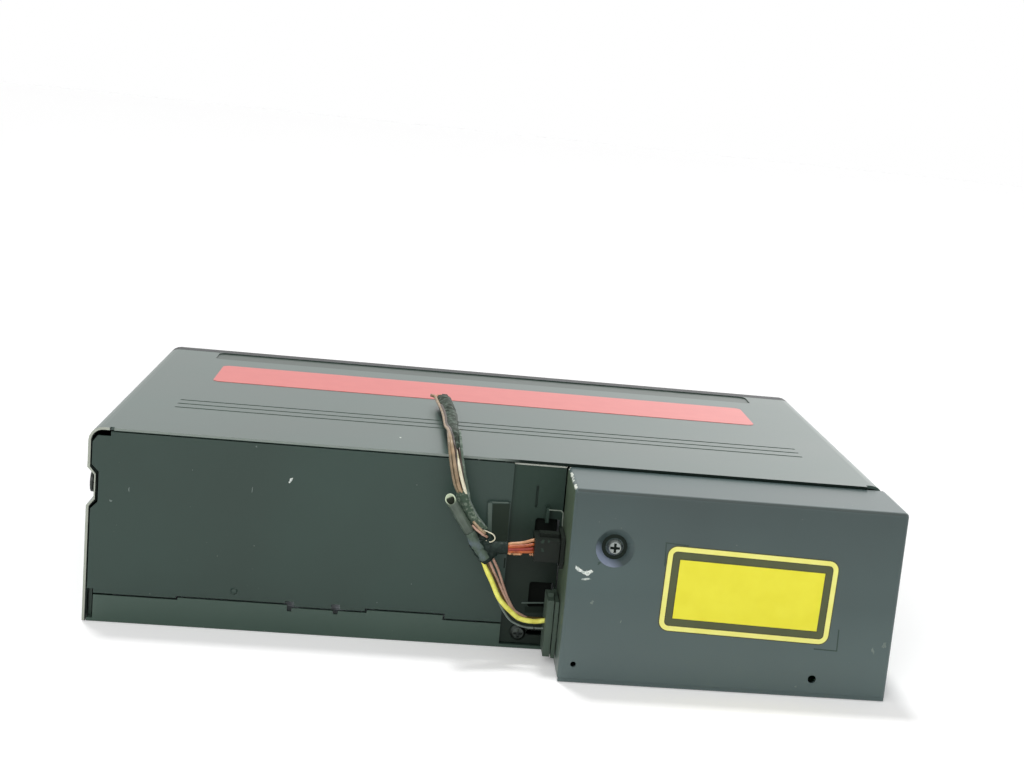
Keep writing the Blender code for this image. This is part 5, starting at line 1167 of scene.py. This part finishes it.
joined = bmesh.new()
for seed, (route, radius) in enumerate(junction_routes.values()):
    tube = swept(smooth_line(route, tube_step), wound_reach(radius, seed * 3), tube_sides)
    joined.from_mesh(tube)
    bpy.data.meshes.remove(tube)
junction_mesh = bpy.data.meshes.new("junction")
joined.to_mesh(junction_mesh)
joined.free()
junction = show("loom_junction", junction_mesh, joint_tape)
remesh = junction.modifiers.new("one_skin", "REMESH")
remesh.mode = "VOXEL"
remesh.voxel_size = skin_voxel
remesh.use_smooth_shade = True
soften = junction.modifiers.new("soften", "SMOOTH")
soften.factor = 0.5
soften.iterations = 3
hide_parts("harness_junction")
rubbed_route = [
    (0.0078, 0.0786, 0.0407), (0.0062, 0.0789, 0.0381), (0.0042, 0.0790, 0.0354),
    (0.0022, 0.0788, 0.0328),
]
rubbed_radius = 0.0018
rubbed_tube = swept(smooth_line(rubbed_route, tube_step), wound_reach(rubbed_radius, 9), tube_sides)
rubbed_side = show("rubbed_side", rubbed_tube, rubbed_tape)


def open_sleeve(line, outer, inner, sides):
    """A sleeve with a wall, closed at its start, open and slanted at its end."""
    frames = frames_along(line)
    steps = list(range(len(line)))
    rings = []
    for reach, i in [(outer, i) for i in steps] + [(inner, i) for i in reversed(steps)]:
        back = frames[i][0] * -rim_slant
        share = eased(i, len(line) - slant_rings, len(line) - 1)
        around = [away for angle, away in spokes(frames[i], sides)]
        rings.append([line[i] + away * reach + back * away.y * share for away in around])
    return ringed_mesh("sleeve", rings, False)


def sleeve_top(finish, here, low, high):
    """0 under and 1 over a slanted line across the sleeve's mouth, low and high metres above it."""
    from_mouth = add_node(finish, "VectorMath", {0: here, 1: stub_route[-1]}, operation="SUBTRACT")
    uphill = (0.45, 0.0, 0.89)
    over = add_node(finish, "VectorMath", {0: from_mouth, 1: uphill}, operation="DOT_PRODUCT")
    return add_node(finish, "MapRange", {"Value": over, "From Min": low, "From Max": high})


def inside_light_and_shade():
    """The sleeve's inside: a painted highlight at the top of its mouth, and painted shade below."""
    made, here = new_finish("sleeve_inside_painted_shade")
    lit_top = sleeve_top(made, here, lit_start, lit_full)
    colour = add_node(made, "Mix", {0: lit_top, 6: "#262f20", 7: "#cbd8ba"}, data_type="RGBA")
    return finished(made, {"Base Color": colour, "Roughness": 0.60})


def sleeve_vinyl():
    """Grey-green vinyl sleeve that is paler where it was cut, with a painted highlight on the top of its
    rim.
    """
    made, here = new_finish("grey_vinyl_sleeve")
    from_end = add_node(made, "VectorMath", {0: here, 1: stub_route[-1]}, operation="DISTANCE")
    cut = add_node(made, "MapRange", {"Value": from_end, "From Min": cut_start, "From Max": cut_full})
    colour = two_tone(made, here, mottle_size, 3.0, 0.3, 0.7, "#3f4c41", "#566357")[0]
    # Painted highlight: the top of the rim is paler still.
    upper = sleeve_top(made, here, rim_start, 0.0)
    rim = add_node(made, "Mix", {0: upper, 6: "#5d6b58", 7: "#cbd8ba"}, data_type="RGBA")
    ended = add_node(made, "Mix", {0: cut, 6: colour, 7: rim}, data_type="RGBA")
    return finished(made, {"Base Color": ended, "Roughness": 0.34})


sleeve_step = 0.0004
sleeve_sides = 28
sleeve_line = smooth_line(stub_route, sleeve_step)
sleeve_mesh = open_sleeve(sleeve_line, stub_radius, stub_radius - stub_wall, sleeve_sides)
sleeve = show("loom_sleeve", sleeve_mesh, sleeve_vinyl())
# Painted shade inside the sleeve, with a painted highlight at the top of its mouth.
sleeve.data.materials.append(inside_light_and_shade())
outer_faces = len(sleeve.data.polygons) // 2
for face in sleeve.data.polygons:
    face.material_index = 1 if face.index >= outer_faces else 0
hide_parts("harness_stub")


# Upper lead
# Five short wires in soft PVC leave the tape side by side and fan out to the upper plug, where
# they are crimped into its contacts.
fan = (
    (0.0378, 0.0397, 0.0780, peach_skin), (0.0371, 0.0384, 0.0785, orange_skin),
    (0.0363, 0.0371, 0.0787, red_skin), (0.0356, 0.0360, 0.0784, orange_skin),
    (0.0349, 0.0349, 0.0779, peach_skin),
)
upper_radius = 0.00054
plugged_depth = 0.0012
fan_share = 0.35
for i, (from_z, to_z, y, finish) in enumerate(fan):
    route = [
        (-0.0030, 0.0776, 0.0363), (-0.0050, y, from_z),
        (-0.0088, y, from_z + (to_z - from_z) * fan_share), (plug_high.x, y, to_z),
        (plug_high.x - plugged_depth, y, to_z),
    ]
    strand(f"upper_wire_{i + 1}", route, upper_radius, finish)
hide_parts("upper_lead")


# Lower lead
# A yellow wire, two pale pink ones, an ochre one and a thin grey one, all in soft PVC, drop out of
# the tape and turn into the lower plug in one slack curve, the yellow one in front.
yellow_route = [
    (0.0046, 0.0780, 0.0345), (0.0029, 0.0788, 0.0314), (0.0012, 0.0790, 0.0282),
    (-0.0005, 0.0790, 0.0251), (-0.0028, 0.0790, 0.0205), (-0.0049, 0.0790, 0.0180),
    (-0.0070, 0.0790, 0.0161), (-0.0094, 0.0790, 0.0142), (-0.0117, 0.0790, 0.0134),
    (-0.0147, 0.0789, 0.0131), (-0.0172, 0.0788, 0.0134), (-0.0192, 0.0787, 0.0138),
    (-0.0205, 0.0786, 0.0140),
]
yellow_radius = 0.00080
yellow_sides = 18
yellow_swell = 0.009
yellow_wire = strand("yellow_wire", yellow_route, yellow_radius, yellow_skin, yellow_sides, yellow_swell)
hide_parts("lower_lead")
lower_runs = {
    "pink_wire_1": (
        pink_skin, 0.00044, (0.0022, 0.0778, 0.0345), (0.0010, 0.0782, 0.0319), (-0.0008, 0.0781, 0.0284),
        (-0.0027, 0.0780, 0.0248), (-0.0047, 0.0780, 0.0210), (-0.0073, 0.0780, 0.0168),
        (-0.0100, 0.0778, 0.0150), (-0.0135, 0.0772, 0.0135), (-0.0200, 0.0768, 0.0136),
    ),
    "ochre_wire": (
        ochre_skin, 0.00080, (0.0026, 0.0774, 0.0345), (0.0013, 0.0776, 0.0305),
        (-0.0004, 0.0777, 0.0268), (-0.0022, 0.0777, 0.0232), (-0.0042, 0.0777, 0.0196),
        (-0.0068, 0.0776, 0.0164), (-0.0100, 0.0774, 0.0142), (-0.0140, 0.0770, 0.0132),
        (-0.0200, 0.0766, 0.0134),
    ),
    "pink_wire_2": (
        pink_skin, 0.00044, (0.0008, 0.0776, 0.0348), (-0.0004, 0.0778, 0.0322),
        (-0.0021, 0.0777, 0.0290), (-0.0038, 0.0776, 0.0248), (-0.0057, 0.0776, 0.0203),
        (-0.0080, 0.0776, 0.0164), (-0.0106, 0.0774, 0.0142), (-0.0140, 0.0770, 0.0130),
        (-0.0200, 0.0766, 0.0132),
    ),
    "grey_wire": (
        grey_skin, 0.00036, (0.0038, 0.0774, 0.0338), (0.0018, 0.0774, 0.0290), (-0.0002, 0.0774, 0.0244),
        (-0.0024, 0.0773, 0.0200), (-0.0046, 0.0772, 0.0160), (-0.0070, 0.0770, 0.0128),
        (-0.0092, 0.0770, 0.0114), (-0.0121, 0.0770, 0.0105), (-0.0160, 0.0770, 0.0103),
        (-0.0200, 0.0770, 0.0106),
    ),
}
lower_wires = strands(lower_runs)


# Studio
# A white paper floor in an even white room, with one wide lamp high behind the object and a weak
# soft panel on the camera's side. The camera, gloss and glass see room and paper as white, while
# the object gets plain light.
floor_size = 12.0
room_light = 0.55
dim_side = 0.06
bright_side = -0.44
dim_glint = 0.87
bright_glint = 1.84
paper_glow = 0.17
floor_gap = 0.0002
lamp_strength = 1.55
lamp_width = 0.13
lamp_aim = Vector((-0.12, 0.26, -1.0))


def seen_directly(finish):
    """1 for the camera, for gloss and for glass, and 0 for the light that falls on the object."""
    path = add_node(finish, "LightPath")
    gloss = (path, "Is Glossy Ray")
    direct = add_node(finish, "Math", {0: (path, "Is Camera Ray"), 1: gloss}, operation="MAXIMUM")
    glass = (path, "Is Transmission Ray")
    return add_node(finish, "Math", {0: direct, 1: glass}, operation="MAXIMUM")


white = "#ffffff"
room = bpy.data.worlds.new("white_room")
room.use_nodes = True
room.node_tree.nodes.clear()
bpy.context.scene.world = room
lit = add_node(room, "Background", {"Color": white, "Strength": room_light})
way = add_node(room, "TexCoord")
sides = add_node(room, "SeparateXYZ", {"Vector": (way, "Generated")})
across_room = {"Value": (sides, "X"), "From Min": dim_side, "From Max": bright_side}
glints = {"To Min": dim_glint, "To Max": bright_glint}
window_side = add_node(room, "MapRange", {**across_room, **glints}, interpolation_type="SMOOTHSTEP")
rays = add_node(room, "LightPath")
glint = add_node(room, "Mix", {0: (rays, "Is Glossy Ray"), 2: 1.0, 3: window_side}, data_type="FLOAT")
seen = add_node(room, "Background", {"Color": white, "Strength": glint})
choice = add_node(room, "MixShader", {0: seen_directly(room), 1: lit, 2: seen})
add_node(room, "OutputWorld", {"Surface": choice})

paper = new_finish("white_paper_sweep")[0]
matt = add_node(paper, "BsdfDiffuse", {"Color": "#f3f3f3", "Roughness": 0.5})
glow = add_node(paper, "Emission", {"Color": white, "Strength": paper_glow})
dark = add_node(paper, "Emission", {"Color": "#000000", "Strength": 0.0})
extra = add_node(paper, "MixShader", {0: seen_directly(paper), 1: dark, 2: glow})
total = add_node(paper, "AddShader", {0: matt, 1: extra})
add_node(paper, "OutputMaterial", {"Surface": total})
sweep = bpy.data.meshes.new("floor")
corners = oblong(-floor_size / 2, -floor_size / 2, floor_size / 2, floor_size / 2)
sweep.from_pydata([(x, y, -floor_gap) for x, y in corners], [], [(0, 1, 2, 3)])
sweep.materials.append(paper)
floor = bpy.data.objects.new("floor", sweep)
bpy.context.scene.collection.objects.link(floor)

lamp = bpy.data.lights.new("wide_lamp", "SUN")
lamp.energy = lamp_strength
lamp.angle = lamp_width
lamp_holder = bpy.data.objects.new("wide_lamp", lamp)
lamp_holder.rotation_mode = "QUATERNION"
lamp_holder.rotation_quaternion = lamp_aim.to_track_quat("-Z", "Y")
bpy.context.scene.collection.objects.link(lamp_holder)

panel_place = Vector((0.35, 1.30, 0.75))
panel_aim = Vector((0.0, 0.05, 0.03))
panel_size = 0.6
panel_power = 5.0
panel = bpy.data.lights.new("front_panel", "AREA")
panel.shape = "RECTANGLE"
panel.size = panel_size
panel.size_y = panel_size
panel.energy = panel_power
panel_holder = bpy.data.objects.new("front_panel", panel)
panel_look = (panel_aim - panel_place).to_track_quat("-Z", "Y").to_matrix().to_4x4()
panel_holder.matrix_world = Matrix.Translation(panel_place) @ panel_look
bpy.context.scene.collection.objects.link(panel_holder)


# Camera
# It looks at the wiring side from a little above, turned and tilted as in the photograph. Its
# lens is shifted, so that the part stands in the frame as it does there.
camera_place = Vector((0.02725, 0.60837, 0.17949))
camera_turn = -0.135
camera_down = 0.210
camera_roll = 0.1066
film_width = 36.0
lens_length = 60.75
shift_across = -0.1278
shift_up = 0.0832
view = bpy.data.cameras.new("camera")
view.sensor_width = film_width
view.lens = lens_length
view.shift_x = shift_across
view.shift_y = shift_up
view.clip_start = 0.01
view.clip_end = 50.0
camera = bpy.data.objects.new("camera", view)
turned = Matrix.Rotation(math.pi + camera_turn, 4, "Z")
lowered = Matrix.Rotation(math.pi / 2 - camera_down, 4, "X")
rolled = Matrix.Rotation(camera_roll, 4, "Z")
camera.matrix_world = Matrix.Translation(camera_place) @ turned @ lowered @ rolled
bpy.context.scene.collection.objects.link(camera)
bpy.context.scene.camera = camera
bpy.context.scene.view_settings.view_transform = "Standard"
